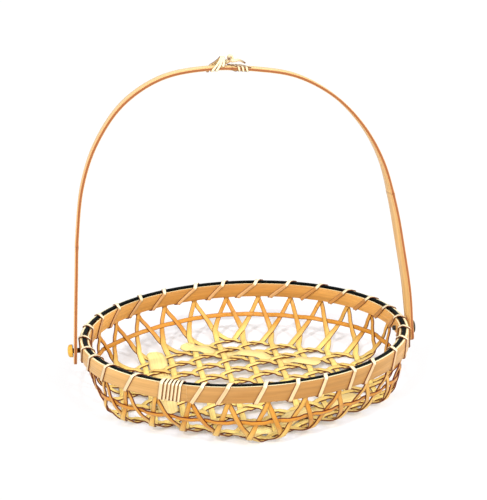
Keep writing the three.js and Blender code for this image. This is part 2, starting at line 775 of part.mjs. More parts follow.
function roundCane(path, steps, sides, radius) {
  const frames = path.computeFrenetFrames(steps);
  const rings = Array.from({ length: steps + 1 }, (_, i) => {
    const middle = path.getPointAt(i / steps);
    return Array.from({ length: sides }, (_, k) => {
      const angle = 2 * Math.PI * k / sides;
      return middle.clone()
        .addScaledVector(frames.normals[i], radius * Math.cos(angle))
        .addScaledVector(frames.binormals[i], radius * Math.sin(angle));
    });
  });
  return ringSolid(rings);
}

const alternating = [true, false, true, false, true];
const wideStrips = [
  { name: 'back', family: 1, row: 2.5, from: -1.25, over: alternating, overhangs: [0.45, 0.34] },
  { name: 'left', family: 0, row: -3, from: -1.5, over: alternating, overhangs: [0.5, 0.36] },
  { name: 'front', family: 2, row: 3.5, from: -2.25, over: alternating, overhangs: [0.34, 0.38] },
];

function bamboo(color, roughness) {
  return new THREE.MeshStandardMaterial({ color, roughness, metalness: 0 });
}

const basket = new THREE.Group();
function add(name, geometry, color, roughness = 0.55) {
  const mesh = new THREE.Mesh(geometry, bamboo(color, roughness));
  mesh.name = name;
  basket.add(mesh);
}

const familyNames = ['cross_strip', 'left_slant_strip', 'right_slant_strip'];
families.forEach((family, f) => {
  family.offsets.forEach((offset, i) => {
    const strip = weaveStrip(family, offset);
    add(`${familyNames[f]}_${i + 1}`, drilledBothSides(strip), colors.weave);
  });
});
add('wall_ring_strip', wallRing(), colors.ring);
for (const wide of wideStrips) add(`wide_strip_${wide.name}`, wideStrip(wide), colors.wide);

const outerHoopInside = rimRadius - outerHoopThickness;
const innerHoopOutside = innerRadius + innerHoopThickness;
const outerHoop = hoop(outerHoopInside, rimRadius, hiddenCut, edgeCut, outerScarfAzimuth);
const innerHoop = hoop(innerRadius, innerHoopOutside, edgeCut, hiddenCut, innerScarfAzimuth);
add('outer_hoop', drilledBothSides(outerHoop), colors.outerHoop);
add('inner_hoop', drilledBothSides(innerHoop), colors.innerHoop);

const fillerHalf = fillerWidth / 2;
const fillerSection = [
  [fillerMiddle - fillerHalf, rimTop + fit],
  [fillerMiddle - fillerHalf + fillerCut, fillerTop],
  [fillerMiddle + fillerHalf - fillerCut, fillerTop],
  [fillerMiddle + fillerHalf, rimTop + fit],
];
const fillerStart = fillerJointAzimuth + fillerJoint / 2;
const fillerAzimuths = evenly(fillerStart, fillerStart + 360 - fillerJoint, fillerSteps);
add('rim_filler', rimSweep(fillerAzimuths, () => fillerSection), colors.filler, 0.4);

add('rim_lashing_front', frontLashing.geometry, colors.lashing);
add('rim_lashing_back', backLashing.geometry, colors.lashing);
add('rim_joint_lashing', jointLashing.geometry, colors.lashing);

add('handle_strip', handleStrip(), colors.handle);
add('left_peg', peg(-1), colors.peg);
add('right_peg', peg(1), colors.peg);
add('handle_tall_binding', leanedBack(tallBinding.geometry), colors.binding);
add('handle_low_binding', leanedBack(lowBinding.geometry), colors.binding);
const knot = roundCane(knotPath, knotSteps, knotSides, knotRadius);
add('handle_knot', leanedBack(knot), colors.knot);

const gaps = {
  'front lashing': frontLashing,
  'back lashing': backLashing,
  'joint lashing': jointLashing,
  'tall binding': tallBinding,
  'low binding': lowBinding,
};
for (const [name, cane] of Object.entries(gaps)) {
  console.log(`least gap of the ${name} to itself: ${cane.gap.toFixed(2)} mm`);
}

export default basket;
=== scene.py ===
import math
import random

import bpy
import numpy as np
from mathutils import Matrix, Vector


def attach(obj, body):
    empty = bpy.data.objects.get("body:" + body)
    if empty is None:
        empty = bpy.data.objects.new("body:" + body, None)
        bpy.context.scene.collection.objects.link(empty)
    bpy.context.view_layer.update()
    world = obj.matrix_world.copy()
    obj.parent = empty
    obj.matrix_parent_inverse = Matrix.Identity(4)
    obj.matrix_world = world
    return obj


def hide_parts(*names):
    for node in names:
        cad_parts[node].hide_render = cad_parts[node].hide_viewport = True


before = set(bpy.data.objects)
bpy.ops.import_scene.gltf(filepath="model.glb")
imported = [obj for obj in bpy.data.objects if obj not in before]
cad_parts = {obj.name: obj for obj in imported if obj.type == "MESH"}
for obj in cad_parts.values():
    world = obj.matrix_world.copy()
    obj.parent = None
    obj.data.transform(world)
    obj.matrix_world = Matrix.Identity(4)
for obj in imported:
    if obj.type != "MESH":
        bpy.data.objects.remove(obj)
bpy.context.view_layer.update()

MM = 0.001
ROOT_3 = math.sqrt(3)
SQUARE = [(-1, -1), (1, -1), (1, 1), (-1, 1)]
SINE_60 = math.sin(math.radians(60))
chance = random.Random(11)

# Weave of the bowl
CELL = 23.4
LONG_SIDE = 5
SHORT_SIDE = 4
STRIP_WIDTH = 4.6
STRIP_THICKNESS = 1.05
STRIP_SPREAD = (0.95, 1.03)  # least and greatest width, as shares
WEAVE_SLACK = 0.02  # room between two strips that cross
FLAT_MARGIN = 0.1
BASE_MIDDLE = 1.15
BASE_RISE = 4.6
DOME_END = 0.7
FOLD_START = 0.13
RING_HEIGHT = 19.2
CROSSING_DROP = 1.6
STRIP_END_DROP = 2.4
WALL_FLARE = 1.3
CORNER_EASE = 0.6
WALL_STRIP_SHARE = 0.74  # they are split narrower in the wall
NARROWING = (6, 12)  # where that starts, and over how much height
# Painted light: the same strips are pale in the base, which faces up to the lamps, and honey up the
# wall
BASE_TONE = 0.12  # from 0, pale, to 1, honey
WALL_TONE = 0.9
PAINTED_TONE_RISE = (-6, 13)  # the same for the painted change of tone, on the flat lattice
SHADE_SPREAD = (-0.16, 0.16)  # of the pieces' tones
STRIP_DRIFT = (0.35, 90)  # sideways drift of a strip, and its wavelength
DRIFT_FADE = 12  # length over which it sets in at each end
STRIP_KNUCKLES = (135, 0.12)  # distance apart, and swell
FIRST_KNUCKLE = (0.2, 0.9)  # its place, as a share of that distance
KNUCKLE_STRAY = (0.85, 1.15)
KNUCKLE_WIDENING = 0.8  # of the strip, as a share of the swell
STRIP_STEP = 1.0
RING_JOINT = 0.25  # where the wall's strand meets itself, in cells
RING_END_GAP = 0.012  # in cells
RING_POINTS = 26  # for each cell
RING_TONE = 1.0
RING_DRIFT = (0.3, 120)
RING_KNUCKLES = (190, 0.12)

# Wide strips of the base
WIDE_WIDTH = 14.0
WIDE_THICKNESS = 0.5
WIDE_BLUNT = 4.5  # length of their rounded ends
WIDE_TIP = 0.2  # square of the width at the very end, as a share
WIDE_STEP = 0.04  # in cells
WIDE_SIDES = (1, -1, 1, -1, 1)  # 1 where it lies over the weave, -1 under it
WIDE_STRIPS = {  # family, row, first crossing and overhangs, in cells
    "wide_strip_back": (1, 2.5, -1.25, (0.45, 0.34)),
    "wide_strip_left": (0, -3, -1.5, (0.5, 0.36)),
    "wide_strip_front": (2, 3.5, -2.25, (0.34, 0.38)),
}

# Rim. Azimuths are in degrees from +X, towards +Y
RIM_RADIUS = 120.0
RIM_TOP = 46.4
RIM_TILT = 2.2
HOOP_HEIGHT = 11.5
OUTER_HOOP = 2.4
INNER_HOOP = 1.9
HOOP_SPACE = 2.9
HOOP_SCARF = 11.0
SCARF_TIP = 0.5
SCARF_GAP = 0.12
OUTER_SCARF_AZIMUTH = 233
INNER_SCARF_AZIMUTH = 256
INNER_HOOP_DROP = 0.8  # it sits a little lower than the outer one
# Painted shade: each hoop turns from pale to honey towards one side, as if that side lay in shade;
# HOOP_CONTRAST is how fast it fades
OUTER_SHADED_AZIMUTH = 278  # azimuth of its side with painted shade
INNER_SHADED_AZIMUTH = 90
HOOP_CONTRAST = 1.6
HOOP_POINTS = 470
RIM_END_GAP = 0.1  # in degrees
FILLER_WIDTH = 2.8
FILLER_HEIGHT = 1.8
FILLER_SINK = 1.0  # how deep it lies between the hoops
FILLER_JOINT_AZIMUTH = 96
FILLER_POINTS = 361

# Lashing of the rim
CANE_WIDTH = 3.0
CANE_THICKNESS = 0.85
CANE_SLACK = 0.05
LASHINGS = 30
LASHING_DRIFT = 6.0
UNDER_RIM_SLANT = 0.7
LASHING_LEAN = 3.0
CLOSING_SLANT = 0.2
JOINT_CANE_WIDTH = 1.8
JOINT_TURNS = 5
JOINT_PITCH = 2.7
JOINT_START = 235.9
JOINT_LEAN = 1.0
BEFORE_JOINT = 234.3
AFTER_JOINT = 247.1
CANE_SHADE_RATE = 1.3  # how soon painted shade turns it tan where it bends down
# painted shade on the outer face, as a share of that on the inner face
CANE_SHADE_OUTSIDE = 0.6
LASHING_SHARES = [(0, 0), (1, 0), (1, 0.06), (1, 0.14), (1, 0.2), (1, 0.92)]
LASHING_STRAYS = [  # azimuth, and how far its turns are from their even places
    (0, 2.5), (20, 2.8), (75, 3), (90, 3), (100, 1), (112, 2), (125, 0), (190, 0), (198, -2.4),
    (222, -2.6), (232, 0), (243, 0), (247, -1.6), (256, 0.6), (267, 1.6), (278, 1.6), (290, 0),
    (303, -1.5), (310, 2.4), (324, 3), (338, 3), (360, 2.5),
]

# Bends of a wound cane
BEND_CUT = 0.9  # length of a corner that is cut off
LONGEST_CUT = 0.45  # as a share of the straight beside it
BEND_STEPS = 4

# Handle and pegs
PEG_DROP = 7.6
PEG_RADIUS = 1.8
PEG_TAIL = 2.2
PEG_HEAD_RADIUS = 4.7
PEG_HEAD_GAP = 0.6
PEG_BEVEL = 0.5
PEG_SIDES = 40
LEFT_HEAD_LENGTH = 3.9
RIGHT_HEAD_LENGTH = 2.4
HEAD_ROUNDNESS = 0.8
# painted shade towards the rim of a peg's head
HEAD_RIM_SHADE = 0.6
HANDLE_WIDTH = 13.0
HANDLE_THICKNESS = 2.3
HANDLE_RISE = 199.6
HANDLE_GAP = 0.9
HANDLE_TILT = 4.0
HANDLE_TAIL = 9.5
TAIL_STEPS = 14
TAIL_TIP = 0.2  # square of the tail's width at its end, as a share
TAIL_BLUNTNESS = 6
HANDLE_STEPS = 300
HANDLE_DRIFT = (0.25, 260)
HANDLE_KNUCKLES = (172, 0.35, 1.8)  # the third is how far each spreads
# Painted shade: the handle is paler on its top, which faces up, and honey down its steep legs
TOP_TONE = 0.15
LEG_SHADE = 0.55
LEG_TWIST = (7, 11)  # at the right peg and above the rim, in degrees
TWIST_RISE = 0.12  # heights as shares of the handle's rise
TWIST_END = 0.75
TWIST_FADE = 0.4
LASHING_GAP = 0.5
ARCH_STEPS = 1200
ARCH_SHAPE = [
    (-1, 0), (-0.987, 0.12), (-0.97, 0.26), (-0.946, 0.44), (-0.901, 0.61), (-0.811, 0.755),
    (-0.649, 0.89), (-0.422, 0.975), (-0.146, 1), (0.13, 0.988), (0.357, 0.957), (0.568, 0.88),
    (0.73, 0.77), (0.84, 0.64), (0.905, 0.48), (0.949, 0.31), (0.984, 0.15), (1, 0),
]

# Binding and knot at the top of the handle
BINDING_MIDDLE = -5.6
TALL_WIDTH = 1.8
LOW_WIDTH = 1.5
BINDING_THICKNESS = 0.7
BINDING_TONE = 0.18
BINDING_BENDS = (0.8, 0.7)  # cut, and spacing of points
TALL_STARTS = [-14.6, -11.6, -8.6, -5.6]
TALL_LEANS = [9.5, 8.7, 7.9]
TALL_SHARES = [(0, 0), (0.1, 0), (0.4, 0), (1, 0), (1, 0.06), (1, 0.6)]
PEAK_HEIGHT = 7.2
PEAK_WIDTH = 2.6
PEAK_PLACE = -3.6
PEAK_PULL = 0.75
LOW_START = 5.4
LOW_PITCH = 2.8
LOW_TURNS = 4
LOW_LEAN = 4
LOW_SHARES = [(0, 0), (0.9, 0), (1, 0), (1, 0.85)]
KNOT_PATH = [  # along the handle, across it, off it, tone from cream to brown, and width; the brown is painted shade in the knot's hollows
    (-3.4, 0.6, 2.8, 0.2, 3), (-1.4, 0.8, 3.6, 0.1, 3), (1.4, 1, 4.8, 0.1, 2.8),
    (3.2, 0.8, 6.4, 0, 2.4), (2.8, 0, 8, 0, 2.2), (1.2, -1.4, 8.4, 0.1, 2),
    (0.4, -3, 7, 0.9, 2), (1.8, -3.8, 5.4, 0.2, 2.4), (4.6, -3.6, 5.4, 0.1, 2.2),
    (7.4, -3.4, 5.8, 0.3, 1.8), (10, -3.2, 5, 0.6, 1.5), (12.2, -3, 3.8, 0.9, 1.2),
]
KNOT_FLATNESS = 0.7
KNOT_FACING = (0, -0.8, 0.6)
KNOT_STEPS = 90

# Derived sizes
ROW = CELL * ROOT_3 / 2
CELLS = 2 * SHORT_SIDE + 4 * LONG_SIDE
CELL_ANGLE = 360 / CELLS
WEAVE_OFFSET = (STRIP_THICKNESS + WEAVE_SLACK) / 2
INNER_RADIUS = RIM_RADIUS - OUTER_HOOP - HOOP_SPACE - INNER_HOOP
HOOP_BOTTOM = RIM_TOP - HOOP_HEIGHT
WEAVE_RADIUS = INNER_RADIUS + INNER_HOOP + HOOP_SPACE / 2
CROSSING_HEIGHT = HOOP_BOTTOM - CROSSING_DROP
WIDE_OFFSET = WEAVE_OFFSET + (STRIP_THICKNESS + WIDE_THICKNESS) / 2 + WEAVE_SLACK
PEG_HEIGHT = RIM_TOP - PEG_DROP
HANDLE_FOOT = RIM_RADIUS + LASHING_GAP + CANE_THICKNESS + HANDLE_GAP + HANDLE_THICKNESS / 2
FILLER_MIDDLE = (INNER_RADIUS + RIM_RADIUS) / 2
FILLER_TOP = RIM_TOP - FILLER_SINK + FILLER_HEIGHT
FLAT_TO_WALL = 2 / ROOT_3  # length along a slanting strip for each unit of height


# Small helpers

def mix(a, b, share):
    return a + (b - a) * share


def clamp(value, low=0.0, high=1.0):
    return max(low, min(high, value))


def ease(value):
    value = np.clip(value, 0, 1)
    return value * value * (3 - 2 * value)


def share_past(values, start, span):
    """0 up to the start, 1 past the span and even between."""
    return np.clip((np.asarray(values) - start) / span, 0, 1)


def share_in(lengths, span):
    """0 at both ends of a line, 1 from the span inwards and even between."""
    return np.clip(np.minimum(lengths, lengths[-1] - lengths) / span, 0, 1)


def planar(angle, length=1.0):
    return Vector((math.cos(math.radians(angle)), math.sin(math.radians(angle)))) * length


def pitched(point, degrees, pivot):
    """A point turned back about a level axis at the pivot's height."""
    angle = -math.radians(degrees)
    above = point.z - pivot
    y = point.y * math.cos(angle) - above * math.sin(angle)
    z = pivot + point.y * math.sin(angle) + above * math.cos(angle)
    return Vector((point.x, y, z))


def tilted(point, share=1.0, pivot=PEG_HEIGHT):
    """A point turned with the rim, about the peg axis."""
    return pitched(point, RIM_TILT * share, pivot)


def leaned_back(point, pivot=PEG_HEIGHT):
    return pitched(point, HANDLE_TILT, pivot)


def running_lengths(places):
    """Length along a line, up to each of its places."""
    return np.r_[0, np.cumsum(np.linalg.norm(np.diff(places, axis=0), axis=1))]


def evenly_spaced(points, steps):
    places = np.array(points)
    lengths = running_lengths(places)
    wanted = np.linspace(0, lengths[-1], steps + 1)
    columns = [np.interp(wanted, lengths, places[:, k]) for k in range(3)]
    return [Vector(p) for p in zip(*columns)]


def through(points, steps):
    """Points of a smooth centripetal curve through the given ones, evenly spaced."""
    samples = 40
    points = [2 * points[0] - points[1], *points, 2 * points[-1] - points[-2]]
    dense = []
    for p0, p1, p2, p3 in zip(points, points[1:], points[2:], points[3:]):
        t1 = (p1 - p0).length ** 0.5
        t2 = t1 + (p2 - p1).length ** 0.5
        t3 = t2 + (p3 - p2).length ** 0.5
        for i in range(samples):
            t = mix(t1, t2, i / samples)
            a1 = p0.lerp(p1, t / t1)
            a2 = p1.lerp(p2, (t - t1) / (t2 - t1))
            a3 = p2.lerp(p3, (t - t2) / (t3 - t2))
            b1 = a1.lerp(a2, t / t2)
            b2 = a2.lerp(a3, (t - t1) / (t3 - t1))
            dense.append(b1.lerp(b2, (t - t1) / (t2 - t1)))
    dense.append(points[-2])
    return evenly_spaced(dense, steps)


# Lattice of the weave: three families of strips, and the six sides of the base

class Family:
    def __init__(self, angle, count):
        self.angle = angle
        self.normal = planar(angle - 90)
        self.along = planar(angle)
        self.offsets = [(i - (count - 1) / 2) * ROW for i in range(count)]
        self.side_distance = count / 2 * ROW


FAMILIES = [
    Family(90, 2 * LONG_SIDE),
    Family(150, LONG_SIDE + SHORT_SIDE),
    Family(30, LONG_SIDE + SHORT_SIDE),
]


class Side:
    def __init__(self, index, before, first_cell):
        own = FAMILIES[index % 3]
        self.normal = planar(60 * index)
        self.tangent = planar(60 * index + 90)
        self.distance = own.side_distance
        self.cells = SHORT_SIDE if index % 3 == 0 else LONG_SIDE
        self.start = -(before.side_distance - self.distance / 2) / SINE_60
        self.first_cell = first_cell

    def row(self, level):
        """Start and length of a row of cells beside it."""
        return self.start - level / ROOT_3, self.cells * CELL + 2 * level / ROOT_3


SIDES = []
for index in range(6):
    first_cell = SIDES[-1].first_cell + SIDES[-1].cells if SIDES else 0
    SIDES.append(Side(index, FAMILIES[(index + 5) % 3], first_cell))


def side_at(turn, slack=0.0):
    return next(s for s in reversed(SIDES) if turn >= s.first_cell - slack)


def flat_place(turn, height):
    """Place on the flat lattice, from the cell count and the height above the side line."""
    wrapped = turn % CELLS
    side = side_at(wrapped)
    level = min(height, 0)
    start, length = side.row(level)
    along = start + (wrapped - side.first_cell) / side.cells * length
    return side.normal * (side.distance + level) + side.tangent * along


def wall_place(point):
    """The cell count and height of a point of the flat lattice."""
    side = max(SIDES, key=lambda s: s.normal.dot(point) - s.distance)
    height = side.normal.dot(point) - side.distance
    start, length = side.row(height)
    share = (side.tangent.dot(point) - start) / length
    return side.first_cell + share * side.cells, height


def corner_distance(side, after):
    inset = side.distance - ROW / 2
    reach = (after.distance - ROW / 2 - inset / 2) / SINE_60
    return math.hypot(inset, reach)


FOOT_RADIUS = min(corner_distance(side, SIDES[(i + 1) % 6]) for i, side in enumerate(SIDES))
FLAT_SIDE = FAMILIES[0].offsets[-1]


def base_height(point):
    dome = max(0, 1 - point.length_squared / FOOT_RADIUS ** 2)
    inside = 1 - ease((abs(point.x) / FLAT_SIDE - DOME_END) / (1 - DOME_END))
    return BASE_MIDDLE + BASE_RISE * dome * inside


WALL_START = -ROW / 2 + FOLD_START * CELL
WALL_SPAN = ROW - WALL_START
RING_SHARE = (ROW / 2 - WALL_START) / WALL_SPAN
RING_RISE = (RING_HEIGHT - BASE_MIDDLE) / (CROSSING_HEIGHT - BASE_MIDDLE)
HEIGHT_POWER = math.log(RING_RISE) / math.log(RING_SHARE)
UPPER_SLOPE = (CROSSING_HEIGHT - RING_HEIGHT) / (ROW / 2)
END_HEIGHT = ROW + (RIM_TOP - STRIP_END_DROP - CROSSING_HEIGHT) / UPPER_SLOPE


def bowl(turn, height):
    """Place on the middle surface of the weave."""
    share = clamp((height - WALL_START) / WALL_SPAN)
    flat = flat_place(turn, height)
    if share == 0:
        return Vector((*flat, base_height(flat)))
    before, after = flat_place(turn - CORNER_EASE, height), flat_place(turn + CORNER_EASE, height)
    flat = flat.lerp((flat * 2 + before + after) / 4, min(1, 2 * share))
    round_place = planar((turn - SHORT_SIDE / 2) * CELL_ANGLE, WEAVE_RADIUS)
    place = flat.lerp(round_place, 1 - (1 - share) ** WALL_FLARE)
    rise = (CROSSING_HEIGHT - BASE_MIDDLE) * share ** HEIGHT_POWER
    above = max(0, height - ROW) * UPPER_SLOPE
    return tilted(Vector((*place, base_height(flat) + rise + above)), share)


def bowl_normal(turn, height):
    """The normal points into the basket."""
    step = 0.02
    across = bowl(turn + step, height) - bowl(turn - step, height)
    upward = bowl(turn, height + 2 * step * CELL) - bowl(turn, height)
    return upward.cross(across).normalized()


def direction(turn, height, turn_rate, height_rate):
    step = 0.5
    ahead = bowl(turn + turn_rate * step, height + height_rate * step)
    return (ahead - bowl(turn, height)).normalized()


def flat_reach(tangent, other, half_width=STRIP_WIDTH / 2):
    """Half the length over which a strip lies flat on a strip that crosses it."""
    cosine = abs(tangent.dot(other))
    sine = math.sqrt(1 - cosine ** 2)
    return (half_width * cosine + STRIP_WIDTH / 2) / sine + FLAT_MARGIN


# Routes: what a strip follows, with its section at each place

class Route:
    """Places of a strip's middle line, the way its good side faces, and its section there."""

    def __init__(self, middles, facings, width, thickness, tone=0.0):
        self.middles = np.array(middles, dtype=float)
        self.facings = np.array(facings, dtype=float)
        self.knuckles = np.zeros(len(middles))
        self.widths, self.thicknesses, self.tones = (
            self.knuckles + value for value in (width, thickness, tone))

    def grow_knuckles(self, spacing, swell, spread=1.3):
        """Joints of the bamboo culm: a low ridge with a dark line."""
        lengths = running_lengths(self.middles)
        place = chance.uniform(*FIRST_KNUCKLE) * spacing
        while place < lengths[-1]:
            ridge = np.exp(-((lengths - place) / spread) ** 2)
            self.knuckles = np.maximum(self.knuckles, ridge)
            place += spacing * chance.uniform(*KNUCKLE_STRAY)
        self.thicknesses = self.thicknesses + swell * self.knuckles
        self.widths = self.widths + KNUCKLE_WIDENING * swell * self.knuckles
        return self

    def wander(self, reach, wavelength):
        """Small sideways drift of a hand-split strip, none at its ends."""
        lengths = running_lengths(self.middles)
        drift = np.zeros(len(lengths))
        for harmonic in (1, 2.3):
            phase = chance.uniform(0, 2 * math.pi)
            wave = np.sin(2 * math.pi * harmonic * lengths / wavelength + phase)
            drift += wave * reach / (1 + harmonic)
        tangents = np.gradient(self.middles, axis=0)
        across = np.cross(self.facings, tangents)
        across /= np.linalg.norm(across, axis=1)[:, None]
        drift *= share_in(lengths, DRIFT_FADE)
        self.middles = self.middles + across * drift[:, None]
        return self


def woven(marks, places, stations):
    """Middle line of a strip that lies flat at each station and eases between, with the normals,
    heights and running lengths of the surface. A station is a mark on its way, its distance off
    the surface there and how far it lies flat."""
    surface = np.array([bowl(*p) for p in places])
    normals = np.array([bowl_normal(*p) for p in places])
    lengths = running_lengths(surface)
    stations = [(np.interp(mark, marks, lengths), off, flat) for mark, off, flat in stations]
    offsets = np.full(len(lengths), stations[0][1])
    for (s0, o0, r0), (s1, o1, r1) in zip(stations, stations[1:]):
        start, end = s0 + r0, s1 - r1
        eased = ease((lengths - start) / max(end - start, 1e-6))
        offsets = np.where(lengths >= s0, mix(o0, o1, eased), offsets)
    return surface + normals * offsets[:, None], normals, surface[:, 2], lengths


def crossings_of(family, offset):
    """Where a strip crosses the others of the base, with the cell count there, and 1 where it lies
    over them or -1."""
    rounding = 0.01 * CELL
    found = []
    for other in FAMILIES:
        if other is family:
            continue
        sine = family.along.dot(other.normal)
        side = 1 if (other.angle - family.angle + 180) % 180 == 60 else -1
        for other_offset in other.offsets:
            travel = (other_offset - offset * family.normal.dot(other.normal)) / sine
            turn, height = wall_place(family.normal * offset + family.along * travel)
            if height < rounding:
                found.append((travel, turn, side))
    return sorted(found)


BASE_REACH = flat_reach(planar(0), planar(60))


class Climb:
    """A strip's way up the wall from its last crossing in the base. way is -1 at the strip's
    start and 1 at its end, and lean is 1 where it climbs towards higher cell counts."""

    def __init__(self, crossing, way, along):
        self.travel, self.turn, self.side = crossing
        self.way = way
        self.lean = math.copysign(1, way * along.dot(side_at(self.turn, 0.01).tangent))

    def place(self, height):
        return self.turn + self.lean * height / ROOT_3 / CELL, height

    def tangent(self, height, lean):
        return direction(*self.place(height), lean / ROOT_3 / CELL, 1)

    def stations(self):
        along_ring = direction(*self.place(ROW / 2), 1 / CELL, 0)
        ring_reach = flat_reach(self.tangent(ROW / 2, self.lean), along_ring)
        upper_reach = flat_reach(self.tangent(ROW, self.lean), self.tangent(ROW, -self.lean))
        off = self.side * WEAVE_OFFSET
        found = [(ROW / 2, -off, ring_reach), (ROW, off, upper_reach), (END_HEIGHT, off, 0)]
        return [(self.travel + self.way * h * FLAT_TO_WALL, *rest) for h, *rest in found]


def weave_route(family, offset):
    """A strip up the wall, across the base and up again, over and under the others."""
    crossings = crossings_of(family, offset)
    first = Climb(crossings[0], -1, family.along)
    last = Climb(crossings[-1], 1, family.along)

    def place(travel):
        for climb in (first, last):
            height = climb.way * (travel - climb.travel) / FLAT_TO_WALL
            if height > 0:
                return climb.place(height)
        return wall_place(family.normal * offset + family.along * travel)

    reach = END_HEIGHT * FLAT_TO_WALL
    travels = np.arange(first.travel - reach, last.travel + reach, STRIP_STEP)
    places = [place(t) for t in travels]
    stations = [(travel, side * WEAVE_OFFSET, BASE_REACH) for travel, _, side in crossings]
    stations = first.stations()[::-1] + stations + last.stations()
    middles, normals, heights, _ = woven(travels, places, stations)
    narrowed = (1 - WALL_STRIP_SHARE) * share_past(heights, *NARROWING)
    widths = STRIP_WIDTH * chance.uniform(*STRIP_SPREAD) * (1 - narrowed)
    # painted light: pale in the base, honey up the wall
    tones = mix(BASE_TONE, WALL_TONE, share_past([height for _, height in places], *PAINTED_TONE_RISE))
    route = Route(middles, normals, widths, STRIP_THICKNESS, tones)
    return route.wander(*STRIP_DRIFT).grow_knuckles(*STRIP_KNUCKLES)


def ring_route():
    """The strand round the wall. Its two ends meet behind a crossing strip."""
    first = CELLS - SHORT_SIDE + RING_JOINT
    turns = np.linspace(first + RING_END_GAP, first + CELLS - RING_END_GAP, CELLS * RING_POINTS)
    stations = []
    for k in range(2 * CELLS + 1):
        turn = first + k / 2
        way = -1 if k % 2 == 0 else 1
        crossing = direction(turn, ROW / 2, way / ROOT_3 / CELL, 1)
        reach = flat_reach(direction(turn, ROW / 2, 1 / CELL, 0), crossing)
        stations.append((turn, -way * WEAVE_OFFSET, reach))
    middles, normals, *_ = woven(turns, [(turn, ROW / 2) for turn in turns], stations)
    width = STRIP_WIDTH * WALL_STRIP_SHARE
    route = Route(middles, normals, width, STRIP_THICKNESS, RING_TONE)
    return route.wander(*RING_DRIFT).grow_knuckles(*RING_KNUCKLES)


def wide_route(family, row, start, overhangs):
    """A wide strip of the base, along a row of a family, with blunt ends."""
    family = FAMILIES[family]
    reach = flat_reach(planar(0), planar(60), WIDE_WIDTH / 2)
    end = start + len(WIDE_SIDES) - 1
    travels = np.arange(start - overhangs[0], end + overhangs[1], WIDE_STEP)
    places = [wall_place(family.normal * row * ROW + family.along * t * CELL) for t in travels]
    stations = [(start + i, side * WIDE_OFFSET, reach) for i, side in enumerate(WIDE_SIDES)]
    middles, normals, _, lengths = woven(travels, places, stations)
    blunt = share_in(lengths, WIDE_BLUNT)
    widths = WIDE_WIDTH * np.sqrt(WIDE_TIP + (1 - WIDE_TIP) * (1 - (1 - blunt) ** 2))
    return Route(middles, normals, widths, WIDE_THICKNESS)


# Routes on the rim

def rim_place(azimuth, radius, height):
    return tilted(Vector((*planar(azimuth, radius), height)))


def rim_facing(azimuth, outward, upward):
    return tilted(Vector((*planar(azimuth, outward), upward)), pivot=0).normalized()


def hoop_route(inner, outer, start, shown, shaded_azimuth, drop=0.0):
    """A bent hoop whose tapered ends lie over each other within its thickness. shown is 1 where
    its good side faces out and -1 where it faces in."""
    height = HOOP_HEIGHT - drop
    angles = np.linspace(RIM_END_GAP, 360 + HOOP_SCARF - RIM_END_GAP, HOOP_POINTS)
    middles, thicknesses = [], []
    for angle in angles:
        low, high = inner, outer
        share = angle % 360 / HOOP_SCARF
        lap = inner + SCARF_TIP + share * (outer - inner - 2 * SCARF_TIP - SCARF_GAP)
        if angle > 360:
            low = lap + SCARF_GAP
        elif angle < HOOP_SCARF:
            high = lap
        middles.append(rim_place(start + angle, (low + high) / 2, HOOP_BOTTOM + height / 2))
        thicknesses.append(high - low)
    facings = [rim_facing(start + angle, shown, 0) for angle in angles]
    # Painted shade, strongest at the shaded azimuth
    shade_nearness = np.cos(np.radians(start + angles - shaded_azimuth))
    tones = np.clip(1 - HOOP_CONTRAST * (1 - shade_nearness), 0, 1)
    return Route(middles, facings, height, thicknesses, tones)


def filler_route():
    first, last = FILLER_JOINT_AZIMUTH + RIM_END_GAP, FILLER_JOINT_AZIMUTH + 360 - RIM_END_GAP
    angles = np.linspace(first, last, FILLER_POINTS)
    middles = [rim_place(a, FILLER_MIDDLE, FILLER_TOP - FILLER_HEIGHT / 2) for a in angles]
    facings = [rim_facing(a, 0, 1) for a in angles]
    return Route(middles, facings, FILLER_WIDTH, FILLER_HEIGHT)


def outward_of(start, end):
    """The way out of an anticlockwise outline, on one side of it."""
    way = (end - start).normalized()
    return Vector((way.y, -way.x))


def outset(outline, distance):
    """A closed outline moved out by a distance."""
    moved = []
    for i, corner in enumerate(outline):
        first = outward_of(outline[i - 1], corner)
        second = outward_of(corner, outline[(i + 1) % len(outline)])
        moved.append(corner + (first + second) / (1 + first.dot(second)) * distance)
    return moved


def between(stop, other, share):
    """A place between two stops, each a distance along and a point of the outline."""
    return mix(stop[0], other[0], share), stop[1].lerp(other[1], share)


def cut_share(stop, other, cut):
    return min(LONGEST_CUT, cut / (other[1] - stop[1]).length)


def straight_run(stop, following, cut, spacing):
    """Stops between two bends, each with its way out."""
    margin = cut_share(stop, following, cut)
    steps = max(1, round((following[1] - stop[1]).length / spacing))
    outward = outward_of(stop[1], following[1])
    shares = [k / steps for k in range(1, steps) if margin < k / steps < 1 - margin]
    return [(*between(stop, following, s), outward) for s in shares]


def rounded_bend(before, stop, following, cut):
    """The same round a corner."""
    cut_in, cut_out = cut_share(stop, before, cut), cut_share(stop, following, cut)
    outward_in = outward_of(before[1], stop[1])
    outward_out = outward_of(stop[1], following[1])
    bend = []
    for k in range(BEND_STEPS + 1):
        t = k / BEND_STEPS
        start = between(stop, before, cut_in * (1 - t))
        end = between(stop, following, cut_out * t)
        outward = outward_in.lerp(outward_out, t).normalized()
        bend.append((*between(start, end, t), outward))
    return bend


